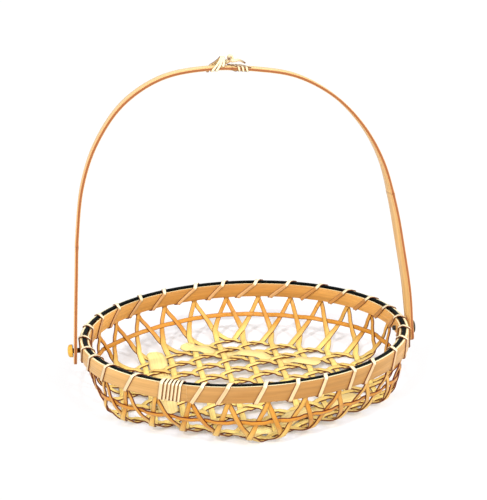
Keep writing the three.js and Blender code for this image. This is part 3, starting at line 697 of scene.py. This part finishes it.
def wound_route(outline, shares, starts, leans, place, width, thickness, cut=BEND_CUT, spacing=1.0):
    """A flat cane wound round an outline. shares say how much of a turn's lean, and of the rest
    of its way along, is done at each corner. place turns the distance along, the point of the
    outline and the way out into a place and a facing."""
    corners = outset(outline, CANE_SLACK + thickness / 2)
    stops = []
    for turn in range(len(starts) - 1):
        rest = starts[turn + 1] - starts[turn] - leans[turn]
        for corner, (lean_share, rest_share) in zip(corners, shares):
            stops.append((starts[turn] + lean_share * leans[turn] + rest_share * rest, corner))
    points = [(*stops[0], outward_of(stops[0][1], stops[1][1]))]
    for before, stop, following in zip(stops, stops[1:], stops[2:]):
        points += straight_run(before, stop, cut, spacing)
        points += rounded_bend(before, stop, following, cut)
    points += straight_run(stops[-2], stops[-1], cut, spacing)
    points.append((*stops[-1], outward_of(stops[-2][1], stops[-1][1])))
    middles, facings = zip(*(place(*point) for point in points))
    return Route(middles, facings, width, thickness)


RIM_OUTLINE = [Vector(p) for p in (
    (RIM_RADIUS, HOOP_BOTTOM),
    (RIM_RADIUS, RIM_TOP - 0.3),
    (FILLER_MIDDLE + FILLER_WIDTH / 2 - 0.5, FILLER_TOP),
    (FILLER_MIDDLE - FILLER_WIDTH / 2 + 0.5, FILLER_TOP),
    (INNER_RADIUS, RIM_TOP - INNER_HOOP_DROP - 0.2),
    (INNER_RADIUS, HOOP_BOTTOM),
)]

# Room for a turn to each side of the middle of an opening, in degrees
STRIP_REACH = 0.85 * STRIP_WIDTH
CANE_REACH = 0.65 * CANE_WIDTH
TURN_ROOM = CELL_ANGLE / 2 - math.degrees((STRIP_REACH + CANE_REACH + 0.3) / WEAVE_RADIUS)


def lashing_azimuth(index):
    """Where a turn starts: near its even place, and within an opening of the weave."""
    even = index * 360 / LASHINGS
    wanted = even - LASHING_DRIFT * math.cos(math.radians(even))
    opening = (math.floor(wanted / CELL_ANGLE) + 0.5) * CELL_ANGLE
    return opening + clamp(wanted - opening, UNDER_RIM_SLANT - TURN_ROOM, TURN_ROOM)


def on_rim(azimuth, point, outward):
    """Turns wound by hand stray a little from their even places."""
    places, strays = zip(*LASHING_STRAYS)
    azimuth = azimuth + float(np.interp(azimuth % 360, places, strays))
    return rim_place(azimuth, point.x, point.y), rim_facing(azimuth, outward.x, outward.y)


def lashing_route(starts, leans, width=CANE_WIDTH):
    """The cane is cream where it lies over the rim, and painted tan as shade down the two faces,
    most on the inside."""
    route = wound_route(RIM_OUTLINE, LASHING_SHARES, starts, leans, on_rim, width, CANE_THICKNESS)
    outside = (route.middles[:, :2] * route.facings[:, :2]).sum(axis=1) > 0
    shade_share = np.clip(1 - CANE_SHADE_RATE * route.facings[:, 2], 0, 1)
    route.tones = shade_share * np.where(outside, CANE_SHADE_OUTSIDE, 1.0)
    return route


def lashing_starts():
    """Azimuths of the turns of the front, the back and the joint lashing."""
    joint_index = math.floor(AFTER_JOINT / 360 * LASHINGS)
    meet_index = joint_index + LASHINGS // 2
    front = [AFTER_JOINT] + [lashing_azimuth(i) for i in range(joint_index + 1, meet_index + 1)]
    back = [lashing_azimuth(i) for i in range(meet_index, joint_index + LASHINGS - 1)]
    back += [BEFORE_JOINT + 360, BEFORE_JOINT + 360 + JOINT_LEAN + CLOSING_SLANT]
    step = math.degrees(JOINT_PITCH / RIM_RADIUS)
    joint = [JOINT_START + i * step for i in range(JOINT_TURNS + 1)]
    return front, back, joint


# Routes on the handle

ARCH = through([Vector((side * HANDLE_FOOT, 0, PEG_HEIGHT + rise * HANDLE_RISE))
                for side, rise in ARCH_SHAPE], ARCH_STEPS)
ARCH_LENGTHS = np.r_[0, np.cumsum([(b - a).length for a, b in zip(ARCH, ARCH[1:])])]
BINDING_LENGTH = next(s for s, p in zip(ARCH_LENGTHS, ARCH) if p.x > BINDING_MIDDLE)


def arch_at(along):
    """Place and way out of the upright arch, from the distance to the binding's middle."""
    index = (BINDING_LENGTH + along) / ARCH_LENGTHS[-1] * (len(ARCH) - 1)
    low = int(clamp(math.floor(index), 0, len(ARCH) - 2))
    place = ARCH[low].lerp(ARCH[low + 1], index - low)
    tangent = (ARCH[min(low + 3, len(ARCH) - 1)] - ARCH[max(low - 2, 0)]).normalized()
    return place, Vector((-tangent.z, 0, tangent.x))


def on_handle(along, point, outward):
    place, out = arch_at(along)
    middle = place + Vector((0, point.x, 0)) + out * point.y
    facing = Vector((0, outward.x, 0)) + out * outward.y
    return leaned_back(middle), leaned_back(facing, pivot=0).normalized()


def twist_at(point):
    """The right leg of the handle is a little twisted, its front edge outwards."""
    above = (point.z - PEG_HEIGHT) / HANDLE_RISE
    twist = mix(*LEG_TWIST, ease(above / TWIST_RISE)) * ease((TWIST_END - above) / TWIST_FADE)
    return math.radians(twist) if point.x > 0 else 0


def tail(foot, following):
    """The handle's end below a peg."""
    away = (foot - following).normalized()
    return [foot + away * HANDLE_TAIL * k / TAIL_STEPS for k in range(1, TAIL_STEPS + 1)]


def handle_route():
    arch = evenly_spaced(ARCH, HANDLE_STEPS)
    line = [*reversed(tail(arch[0], arch[1])), *arch, *tail(arch[-1], arch[-2])]
    middles, facings, widths, tones = [], [], [], []
    for i, point in enumerate(line):
        tangent = (line[min(i + 1, len(line) - 1)] - line[max(i - 1, 0)]).normalized()
        below = clamp((PEG_HEIGHT - point.z) / HANDLE_TAIL)
        widths.append(HANDLE_WIDTH * math.sqrt(1 - (1 - TAIL_TIP) * below ** TAIL_BLUNTNESS))
        # painted shade, more as the handle steepens
        tones.append(TOP_TONE + LEG_SHADE * abs(tangent.z))
        twist = twist_at(point)
        out = Vector((-tangent.z, 0, tangent.x))
        facing = out * math.cos(twist) + Vector((0, math.sin(twist), 0))
        middles.append(leaned_back(point))
        facings.append(leaned_back(facing, pivot=0))
    route = Route(middles, facings, widths, HANDLE_THICKNESS, tones)
    return route.wander(*HANDLE_DRIFT).grow_knuckles(*HANDLE_KNUCKLES)


def gathered(along, point, outward):
    """The tall turns draw together towards their common peak."""
    rise = clamp((point.y - HANDLE_THICKNESS / 2) / PEAK_HEIGHT)
    return on_handle(mix(along, PEAK_PLACE, PEAK_PULL * rise), point, outward)


def binding_routes():
    """The tall and the low turns round the handle."""
    outline = [Vector((x * HANDLE_WIDTH / 2, y * HANDLE_THICKNESS / 2)) for x, y in SQUARE]
    peak = [Vector((side * PEAK_WIDTH / 2, PEAK_HEIGHT)) for side in (1, -1)]
    peaked = [*outline[:3], *peak, outline[3]]
    starts = [LOW_START + i * LOW_PITCH for i in range(LOW_TURNS + 1)]
    tall = (peaked, TALL_SHARES, TALL_STARTS, TALL_LEANS, gathered, TALL_WIDTH)
    low = (outline, LOW_SHARES, starts, [-LOW_LEAN] * len(starts), on_handle, LOW_WIDTH)
    for winding in (tall, low):
        route = wound_route(*winding, BINDING_THICKNESS, *BINDING_BENDS)
        route.tones[:] = BINDING_TONE
        yield route


def knot_route():
    places = [on_handle(along, Vector((across, off)), Vector((0, 1)))[0]
              for along, across, off, _, _ in KNOT_PATH]
    middles = through(places, KNOT_STEPS)
    shares, marks = np.linspace(0, 1, len(middles)), np.linspace(0, 1, len(KNOT_PATH))
    *_, tones, widths = (np.interp(shares, marks, column) for column in zip(*KNOT_PATH))
    return Route(middles, [KNOT_FACING] * len(middles), widths, KNOT_FLATNESS * widths, tones)


# Node trees

class Nodes:
    """Adds nodes to a tree, and links or sets their inputs by name or number."""

    def __init__(self, tree):
        self.tree = tree

    def add(self, kind, inputs=None, output=0, **settings):
        node = self.tree.nodes.new(kind)
        for name, value in settings.items():
            setattr(node, name, value)
        for name, value in (inputs or {}).items():
            if isinstance(value, bpy.types.NodeSocket):
                self.tree.links.new(value, node.inputs[name])
            else:
                node.inputs[name].default_value = value
        return node.outputs[output] if node.outputs else None

    def math(self, operation, a, b=0.0, c=0.0, clamped=False):
        inputs = {0: a, 1: b, 2: c}
        return self.add("ShaderNodeMath", inputs, operation=operation, use_clamp=clamped)

    def largest(self, first, *others):
        for other in others:
            first = self.math("MAXIMUM", first, other)
        return first

    def vector(self, operation, a, b=(0, 0, 0), output="Vector"):
        return self.add("ShaderNodeVectorMath", {0: a, 1: b}, output, operation=operation)

    def scaled(self, vector, factor):
        return self.add("ShaderNodeVectorMath", {0: vector, "Scale": factor}, operation="SCALE")

    def split(self, vector):
        return self.add("ShaderNodeSeparateXYZ", {0: vector}).node.outputs

    def join(self, x=0.0, y=0.0, z=0.0):
        return self.add("ShaderNodeCombineXYZ", {0: x, 1: y, 2: z})

    def seen(self):
        """1 for what the camera sees, also in a reflection, and 0 for other light."""
        rays = self.add("ShaderNodeLightPath").node.outputs
        kinds = ("Is Camera Ray", "Is Glossy Ray", "Is Transmission Ray")
        return self.largest(*(rays[kind] for kind in kinds))


class BarNodes(Nodes):
    def attribute(self, name, kind="FLOAT_VECTOR"):
        return self.add("GeometryNodeInputNamedAttribute", {"Name": name}, data_type=kind)

    def stored(self, geometry, name, value, kind="FLOAT_VECTOR"):
        inputs = {"Geometry": geometry, "Name": name, "Value": value}
        return self.add("GeometryNodeStoreNamedAttribute", inputs, data_type=kind, domain="POINT")

    def side_of(self, ring_part):
        """-1 or 1, with a steep change where the ring's part is zero."""
        steep = self.math("MULTIPLY", ring_part, 50.0)
        return self.math("MAXIMUM", self.math("MINIMUM", steep, 1.0), -1.0)

    def reach(self, side, half, rounding, ring_part):
        flat = self.math("MULTIPLY", side, self.math("SUBTRACT", half, rounding))
        return self.math("MULTIPLY_ADD", ring_part, rounding, flat)


def framed_line(n, line, position):
    tangent = n.add("GeometryNodeInputTangent")
    across = n.vector("NORMALIZE", n.vector("CROSS_PRODUCT", n.attribute("facing"), tangent))
    line = n.stored(line, "middle", position)
    line = n.stored(line, "across_way", across)
    line = n.stored(line, "outward_way", n.vector("CROSS_PRODUCT", tangent, across))
    along = n.add("GeometryNodeSplineParameter", output="Length")
    return n.stored(line, "along", along, "FLOAT")


def split_bar_tree():
    """A bar with rounded edges along a line. The line's points carry the way its good side faces,
    its width and its thickness."""
    tree = bpy.data.node_groups.new("split_bar", "GeometryNodeTree")
    for name, kind in (("Line", "Geometry"), ("Edge Rounding", "Float"), ("Section Points", "Int"),
                       ("Finish", "Material")):
        tree.interface.new_socket(name, in_out="INPUT", socket_type="NodeSocket" + kind)
    tree.interface.new_socket("Bar", in_out="OUTPUT", socket_type="NodeSocketGeometry")
    n = BarNodes(tree)
    given = n.add("NodeGroupInput").node.outputs
    position = n.add("GeometryNodeInputPosition")
    line = n.add("GeometryNodeMeshToCurve", {"Mesh": given["Line"]})
    line = framed_line(n, line, position)
    ring = {"Resolution": given["Section Points"], "Radius": 1.0}
    ring = n.stored(n.add("GeometryNodeCurvePrimitiveCircle", ring), "ring_place", position)
    bar = {"Curve": line, "Profile Curve": ring, "Fill Caps": True}
    bar = n.add("GeometryNodeCurveToMesh", bar)

    ring_x, ring_y, _ = n.split(n.attribute("ring_place"))
    side_x, side_y = n.side_of(ring_x), n.side_of(ring_y)
    half_width = n.math("MULTIPLY", n.attribute("width", "FLOAT"), 0.5)
    half_thickness = n.math("MULTIPLY", n.attribute("thickness", "FLOAT"), 0.5)
    rounding = n.math("MINIMUM", given["Edge Rounding"], n.math("MULTIPLY", half_thickness, 0.98))
    x = n.reach(side_x, half_width, rounding, ring_x)
    y = n.reach(side_y, half_thickness, rounding, ring_y)
    place = n.vector("ADD", n.attribute("middle"), n.scaled(n.attribute("across_way"), x))
    place = n.vector("ADD", place, n.scaled(n.attribute("outward_way"), y))
    bar = n.add("GeometryNodeSetPosition", {"Geometry": bar, "Position": place})
    bar = n.stored(bar, "grain", n.join(n.attribute("along", "FLOAT"), x, y))
    bar = n.stored(bar, "section", n.join(side_x, side_y))
    bar = n.add("GeometryNodeRealizeInstances", {"Geometry": bar})
    bar = n.add("GeometryNodeSetMaterial", {"Geometry": bar, "Material": given["Finish"]})
    n.add("NodeGroupOutput", {"Bar": bar})
    return tree


class FinishNodes(Nodes):
    def attribute(self, which, output="Fac"):
        return self.add("ShaderNodeAttribute", output=output, attribute_name=which)

    def noise(self, grain, scale, detail):
        stretched = self.vector("MULTIPLY", grain, scale)
        inputs = {"Vector": stretched, "Scale": 1.0, "Detail": detail, "Roughness": 0.55}
        return self.add("ShaderNodeTexNoise", inputs, "Fac")

    def ramp(self, value, low, high, start=0.0, end=1.0):
        inputs = {"Value": value, "From Min": low, "From Max": high, "To Min": start, "To Max": end}
        return self.add("ShaderNodeMapRange", inputs, interpolation_type="SMOOTHSTEP")

    def blended(self, factor, a, b, mode="MIX"):
        inputs = {"Factor": factor, 6: a, 7: b}
        return self.add("ShaderNodeMix", inputs, 2, data_type="RGBA", blend_type=mode)

    def shaded(self, colour, value):
        return self.blended(1.0, colour, self.join(value, value, value), "MULTIPLY")


FIBRE_SCALE = (45, 2300, 2300)  # along a strip, across it and through it
STREAK_SCALE = (9, 620, 620)
BLOTCH_SCALE = (26, 160, 160)


def linear(colour):
    """A colour as seen on the screen, from 0 to 255, in the renderer's own units."""
    seen = np.array(colour) / 255
    return (*np.where(seen <= 0.04045, seen / 12.92, ((seen + 0.055) / 1.055) ** 2.4), 1)


def emptied_tree(owner):
    owner.use_nodes = True
    owner.node_tree.nodes.clear()
    return owner.node_tree


def bamboo_finish(name, pale, honey, cut, roughness=0.44, gloss=0.1, fibre=0.5, blotch=0.35,
                  painted_edge_shade=0.3, back=0.3, specular=0.25):
    """Split bamboo: long fibres, slow changes of tone, dark joint lines and the colour of the cut
    on the edges, beside them and on the back. The tone also carries painted light and shade, and a
    dark cut colour paints the shade on a strip's sides and beside its edges."""
    pale, honey, cut = linear(pale), linear(honey), linear(cut)
    material = bpy.data.materials.new(name)
    n = FinishNodes(emptied_tree(material))
    grain = n.attribute("grain", "Vector")
    across_share, off_share, _ = n.split(n.attribute("section", "Vector"))
    tone, knuckle, shade = (n.attribute(which) for which in ("tone", "knuckle", "shade"))
    fibres = n.noise(grain, FIBRE_SCALE, 3)
    streaks = n.noise(grain, STREAK_SCALE, 2)
    blotches = n.noise(grain, BLOTCH_SCALE, 2)

    wandering = n.math("MULTIPLY", n.math("SUBTRACT", blotches, 0.5), 2 * blotch)
    honey_share = n.math("ADD", n.math("ADD", tone, shade), wandering, clamped=True)
    colour = n.blended(honey_share, pale, honey)
    colour = n.shaded(colour, n.ramp(streaks, 0.3, 0.7, 0.86, 1.06))
    colour = n.shaded(colour, n.ramp(fibres, 0.25, 0.75, 1 - 0.28 * fibre, 1.05))
    # painted shade where the cut colour is dark: the sides of the strips and the cane
    edge = n.ramp(n.math("ABSOLUTE", off_share), 0.99, 0.9)
    underside = n.ramp(off_share, 0.0, -1.0, 0.0, back)
    # the darker edge of the split, deepened into painted shade in a band beside each edge
    edge_shade_band = n.ramp(n.math("ABSOLUTE", across_share), 0.75, 1.0, 0.0, painted_edge_shade)
    colour = n.blended(n.largest(edge, underside, edge_shade_band), colour, cut)
    dark = (*(0.35 * c for c in cut[:3]), 1)
    colour = n.blended(n.ramp(knuckle, 0.6, 1.0, 0.0, 0.35), colour, dark)

    relief = n.math("MULTIPLY_ADD", streaks, 0.6, fibres)
    bump = n.add("ShaderNodeBump", {"Strength": 0.35 * fibre, "Distance": 0.0004, "Height": relief})
    rough = n.ramp(blotches, 0.3, 0.7, roughness - 0.07, roughness + 0.1)
    shader = n.add("ShaderNodeBsdfPrincipled", {
        "Base Color": colour, "Roughness": rough, "Coat Weight": gloss, "Coat Roughness": 0.35,
        "Specular IOR Level": specular, "Normal": bump,
    })
    n.add("ShaderNodeOutputMaterial", {"Surface": shader})
    return material


HOOP_LOOK = {"fibre": 0.35, "blotch": 0.2, "painted_edge_shade": 0.0, "back": 0.0}
FINISHES = {  # pale tone, honey tone, cut edge, and what else differs; a dark cut edge is painted shade on the sides
    # the dark cut edges of the weave, the wide strips and the lashing cane are painted shade
    "woven_bamboo": ((255, 228, 134), (208, 140, 44), (96, 26, 6), {"back": 0.0, "painted_edge_shade": 0.45}),
    "wide_bamboo": ((255, 232, 156), (244, 204, 122), (96, 34, 14),
                    {"fibre": 0.25, "blotch": 0.25, "back": 0.0}),
    "outer_hoop_bamboo": ((214, 168, 104), (168, 119, 60), (255, 244, 200), HOOP_LOOK),
    "inner_hoop_bamboo": ((228, 170, 92), (178, 120, 52), (255, 240, 190), HOOP_LOOK),
    "stained_filler": ((4, 12, 12), (8, 18, 18), (2, 6, 6),
                       {"roughness": 0.6, "gloss": 0.0, "painted_edge_shade": 0.0, "specular": 0.05}),
    "lashing_cane": ((255, 244, 204), (196, 138, 74), (104, 48, 20),
                     {"fibre": 0.3, "blotch": 0.15, "painted_edge_shade": 0.85}),
    "peg_wood": ((250, 206, 80), (200, 138, 44), (80, 44, 18), {}),
    # the right peg: a copy of peg_wood painted in shade
    "shaded_peg_wood": ((70, 54, 30), (44, 36, 22), (30, 22, 12), {}),
    "handle_bamboo": ((248, 216, 146), (230, 174, 106), (152, 88, 46),
                      {"fibre": 0.5, "blotch": 0.25, "back": 0.0}),
    # its honey is a dark brown for the painted shade in the knot's hollows
    "knot_cane": ((255, 244, 200), (96, 48, 22), (214, 170, 110),
                  {"fibre": 0.3, "blotch": 0.1, "painted_edge_shade": 0.2}),
}
MATERIALS = {name: bamboo_finish(name, *colours, **look)
             for name, (*colours, look) in FINISHES.items()}
SPLIT_BAR = split_bar_tree()


# Pieces

def add_object(name, data):
    new = bpy.data.objects.new(name, data)
    bpy.context.scene.collection.objects.link(new)
    return new


def write_attributes(mesh, **attributes):
    for label, values in attributes.items():
        vector = values.ndim == 2
        data = mesh.attributes.new(label, "FLOAT_VECTOR" if vector else "FLOAT", "POINT").data
        data.foreach_set("vector" if vector else "value", values.astype(np.float32).ravel())


def line_mesh(name, route):
    mesh = bpy.data.meshes.new(name)
    count = len(route.middles)
    mesh.from_pydata((route.middles * MM).tolist(), [(i, i + 1) for i in range(count - 1)], [])
    write_attributes(mesh, facing=route.facings, width=route.widths * MM, tone=route.tones,
                     thickness=route.thicknesses * MM, knuckle=route.knuckles,
                     shade=np.full(count, chance.uniform(*SHADE_SPREAD)))
    return mesh


def face_outwards(mesh):
    mesh.calc_loop_triangles()
    corners = ([mesh.vertices[i].co for i in face.vertices] for face in mesh.loop_triangles)
    if sum(a.dot(b.cross(c)) for a, b, c in corners) < 0:
        mesh.flip_normals()


def placed(node, mesh, finish, body):
    mesh.materials.clear()
    mesh.materials.append(MATERIALS[finish])
    mesh.shade_smooth()
    face_outwards(mesh)
    piece = add_object("split_" + node, mesh)
    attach(piece, body)
    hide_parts(node)


SPENT = ("middle", "across_way", "outward_way", "along", "ring_place", "facing", "width",
         "thickness")


def bar_piece(node, route, finish, body="basket", rounding=0.18, section_points=12):
    """Sweeps a rounded bar along a route. It stands for the node. Its slot has the finish's name."""
    line = add_object("line_of_" + node, line_mesh("line_of_" + node, route))
    modifier = line.modifiers.new("bar", "NODES")
    modifier.node_group = SPLIT_BAR
    inputs = {"Edge Rounding": rounding * MM, "Section Points": section_points,
              "Finish": MATERIALS[finish]}
    for item in SPLIT_BAR.interface.items_tree:
        if item.name in inputs:
            modifier[item.identifier] = inputs[item.name]
    graph = bpy.context.evaluated_depsgraph_get()
    mesh = bpy.data.meshes.new_from_object(line.evaluated_get(graph), depsgraph=graph,
                                           preserve_all_data_layers=True)
    bpy.data.objects.remove(line)
    mesh.name = "split_" + node
    for spent in SPENT:
        mesh.attributes.remove(mesh.attributes[spent])
    placed(node, mesh, finish, body)


def turned_mesh(name, profile, sides):
    """A solid turned about the X axis, from a profile of place and radius that starts and ends
    on the axis."""
    vertices, faces, rings = [], [], []
    for along, radius in profile:
        count = sides if radius else 1
        rings.append(list(range(len(vertices), len(vertices) + count)))
        for k in range(count):
            angle = 2 * math.pi * k / sides
            vertices.append((along, radius * math.cos(angle), radius * math.sin(angle)))
    for ring, following in zip(rings, rings[1:]):
        for k in range(sides):
            after = (k + 1) % sides
            if len(ring) == 1:
                faces.append((ring[0], following[after], following[k]))
            elif len(following) == 1:
                faces.append((ring[k], ring[after], following[0]))
            else:
                faces.append((ring[k], ring[after], following[after], following[k]))
    mesh = bpy.data.meshes.new(name)
    mesh.from_pydata(vertices, [], faces)
    return mesh


def peg_profile(head, head_length):
    """A round peg with a domed head, from its tail inside the basket."""
    tail = INNER_RADIUS - PEG_TAIL
    profile = [(tail, 0), (tail, PEG_RADIUS - PEG_BEVEL), (tail + 0.4, PEG_RADIUS),
               (head, PEG_RADIUS), (head, PEG_HEAD_RADIUS - PEG_BEVEL),
               (head + 0.15, PEG_HEAD_RADIUS - 0.15), (head + PEG_BEVEL, PEG_HEAD_RADIUS)]
    half = head_length / 2
    for angle in range(0, 90, 10):
        profile.append((head + half + half * math.sin(math.radians(angle)),
                        PEG_HEAD_RADIUS * math.cos(math.radians(angle)) ** HEAD_ROUNDNESS))
    return profile + [(head + 2 * half, 0)]


def peg_piece(node, sign, head_length, finish):
    head = HANDLE_FOOT + HANDLE_THICKNESS / 2 + PEG_HEAD_GAP
    mesh = turned_mesh("split_" + node, peg_profile(head, head_length), PEG_SIDES)
    turn = Matrix.Rotation(math.pi if sign < 0 else 0, 4, "Z")
    mesh.transform(Matrix.Translation((0, 0, PEG_HEIGHT * MM)) @ turn @ Matrix.Scale(MM, 4))
    none = np.zeros(len(mesh.vertices))
    places = np.array([v.co[:] for v in mesh.vertices])
    off = np.hypot(places[:, 1], places[:, 2] - PEG_HEIGHT * MM)
    # Painted shade: the cut colour under the head and on the shank, and a darker tone towards the
    # head's rim
    at_head = np.abs(places[:, 0]) > (head + 0.3) * MM
    write_attributes(mesh, grain=places, section=np.c_[none, np.where(at_head, 1, 0.2), none],
                     tone=np.clip(off / (PEG_HEAD_RADIUS * MM), 0, 1) * HEAD_RIM_SHADE,
                     knuckle=none, shade=none)
    placed(node, mesh, finish, "basket")


def make_weave():
    for name, family in zip(("cross", "left_slant", "right_slant"), FAMILIES):
        for i, offset in enumerate(family.offsets):
            route = weave_route(family, offset)
            bar_piece(f"{name}_strip_{i + 1}", route, "woven_bamboo")
    bar_piece("wall_ring_strip", ring_route(), "woven_bamboo")
    for name, course in WIDE_STRIPS.items():
        bar_piece(name, wide_route(*course), "wide_bamboo", rounding=0.12)


def make_rim():
    outer = hoop_route(RIM_RADIUS - OUTER_HOOP, RIM_RADIUS, OUTER_SCARF_AZIMUTH, 1, OUTER_SHADED_AZIMUTH)
    inner = hoop_route(INNER_RADIUS, INNER_RADIUS + INNER_HOOP, INNER_SCARF_AZIMUTH, -1,
                       INNER_SHADED_AZIMUTH, INNER_HOOP_DROP)
    for name, route in (("outer_hoop", outer), ("inner_hoop", inner)):
        bar_piece(name, route, name + "_bamboo", rounding=0.7, section_points=20)
    bar_piece("rim_filler", filler_route(), "stained_filler", rounding=0.6)

    front, back, joint = lashing_starts()
    back_leans = [LASHING_LEAN] * (len(back) - 2) + [JOINT_LEAN]
    lashings = {
        "rim_lashing_front": (front, [LASHING_LEAN] * len(front)),
        "rim_lashing_back": (back, back_leans),
        "rim_joint_lashing": (joint, [JOINT_LEAN] * len(joint), JOINT_CANE_WIDTH),
    }
    for name, turns in lashings.items():
        bar_piece(name, lashing_route(*turns), "lashing_cane")


def make_handle():
    peg_piece("left_peg", -1, LEFT_HEAD_LENGTH, "peg_wood")
    peg_piece("right_peg", 1, RIGHT_HEAD_LENGTH, "shaded_peg_wood")
    bar_piece("handle_strip", handle_route(), "handle_bamboo", body="handle", rounding=0.5,
              section_points=20)
    for name, route in zip(("tall", "low"), binding_routes()):
        bar_piece(f"handle_{name}_binding", route, "lashing_cane", body="handle")
    bar_piece("handle_knot", knot_route(), "knot_cane", "handle", rounding=0.7)


# Camera, light and floor, all in metres

CAMERA_PLACE = Vector((-0.13122, -1.08206, 0.46507))
CAMERA_TARGET = Vector((0.00139, 0.00242, 0.10616))
CAMERA_ROLL = math.radians(1.5513)
CAMERA_LENS = 117.9
CAMERA_SENSOR = 36
SUNS = {  # the way it comes from, its spread in degrees and its strength
    "left_light": ((-0.5, -0.9, 0.85), 5, 1.35),
    "right_light": ((0.4, -0.9, 0.85), 5, 1.0),
    "left_fill": ((-1.0, -0.3, 0.3), 90, 0.95),
    "right_fill": ((1.0, 0.0, 0.3), 90, 1.95),
    "front_fill": ((0.0, -1.0, 0.12), 60, 1.2),
}
WHITE = (1, 1, 1, 1)
SOFT_COLOUR = (1, 0.94, 0.88, 1)
SOFT_STRENGTH = 0.52
FLOOR_REACH = 6.0
FLOOR_DROP = 0.0002
FLOOR_COLOUR = (0.8, 0.79, 0.8, 1)  # as it lights the basket
FLOOR_SEEN_COLOUR = (0.95, 0.95, 1, 1)
SHADE_MIDDLE = (0, 0.05, 0)  # the floor's shade fades out round this place
SHADE_STRETCH = (1.25, 1, 1)
SHADE_FADE = (0.13, 0.175)  # distances where it starts to fade and ends
FLOOR_GLOW = (0.2, 0.88)  # share of white light there


def make_camera():
    camera = add_object("camera", bpy.data.cameras.new("camera"))
    camera.data.sensor_fit = "HORIZONTAL"
    camera.data.sensor_width = CAMERA_SENSOR
    camera.data.lens = CAMERA_LENS
    camera.data.clip_start = 0.05
    camera.data.clip_end = 20
    look = (CAMERA_TARGET - CAMERA_PLACE).to_track_quat("-Z", "Y").to_matrix().to_4x4()
    roll = Matrix.Rotation(-CAMERA_ROLL, 4, "Z")
    camera.matrix_world = Matrix.Translation(CAMERA_PLACE) @ look @ roll
    bpy.context.scene.camera = camera


def make_light():
    for name, (from_way, spread, strength) in SUNS.items():
        light = bpy.data.lights.new(name, "SUN")
        light.angle = math.radians(spread)
        light.energy = strength
        lamp = add_object(name, light)
        lamp.matrix_world = Vector(from_way).to_track_quat("Z", "Y").to_matrix().to_4x4()
    world = bpy.data.worlds.new("studio")
    bpy.context.scene.world = world
    n = Nodes(emptied_tree(world))
    white = n.add("ShaderNodeBackground", {"Color": WHITE, "Strength": 1.0})
    soft = n.add("ShaderNodeBackground", {"Color": SOFT_COLOUR, "Strength": SOFT_STRENGTH})
    mixed = n.add("ShaderNodeMixShader", {0: n.seen(), 1: soft, 2: white})
    n.add("ShaderNodeOutputWorld", {"Surface": mixed})


def floor_material():
    """Pale, with more white light of its own farther out, so that it looks white there."""
    material = bpy.data.materials.new("pale_floor")
    n = FinishNodes(emptied_tree(material))
    pale = n.add("ShaderNodeBsdfDiffuse", {"Color": FLOOR_COLOUR})
    bright = n.add("ShaderNodeBsdfDiffuse", {"Color": FLOOR_SEEN_COLOUR})
    glow = n.add("ShaderNodeEmission", {"Color": WHITE, "Strength": 1.0})
    place = n.vector("SUBTRACT", n.add("ShaderNodeTexCoord", output="Object"), SHADE_MIDDLE)
    distance = n.vector("LENGTH", n.vector("MULTIPLY", place, SHADE_STRETCH), output="Value")
    away = n.ramp(distance, *SHADE_FADE, *FLOOR_GLOW)
    shown = n.add("ShaderNodeMixShader", {0: away, 1: bright, 2: glow})
    lifted = n.add("ShaderNodeMixShader", {0: n.seen(), 1: pale, 2: shown})
    n.add("ShaderNodeOutputMaterial", {"Surface": lifted})
    return material


def make_floor():
    mesh = bpy.data.meshes.new("floor")
    vertices = [(x * FLOOR_REACH, y * FLOOR_REACH, -FLOOR_DROP) for x, y in SQUARE]
    mesh.from_pydata(vertices, [], [(0, 1, 2, 3)])
    mesh.materials.append(floor_material())
    floor = add_object("floor", mesh)


make_camera()
make_light()
make_floor()
make_weave()
make_rim()
make_handle()

bpy.context.scene.view_settings.view_transform = "Standard"
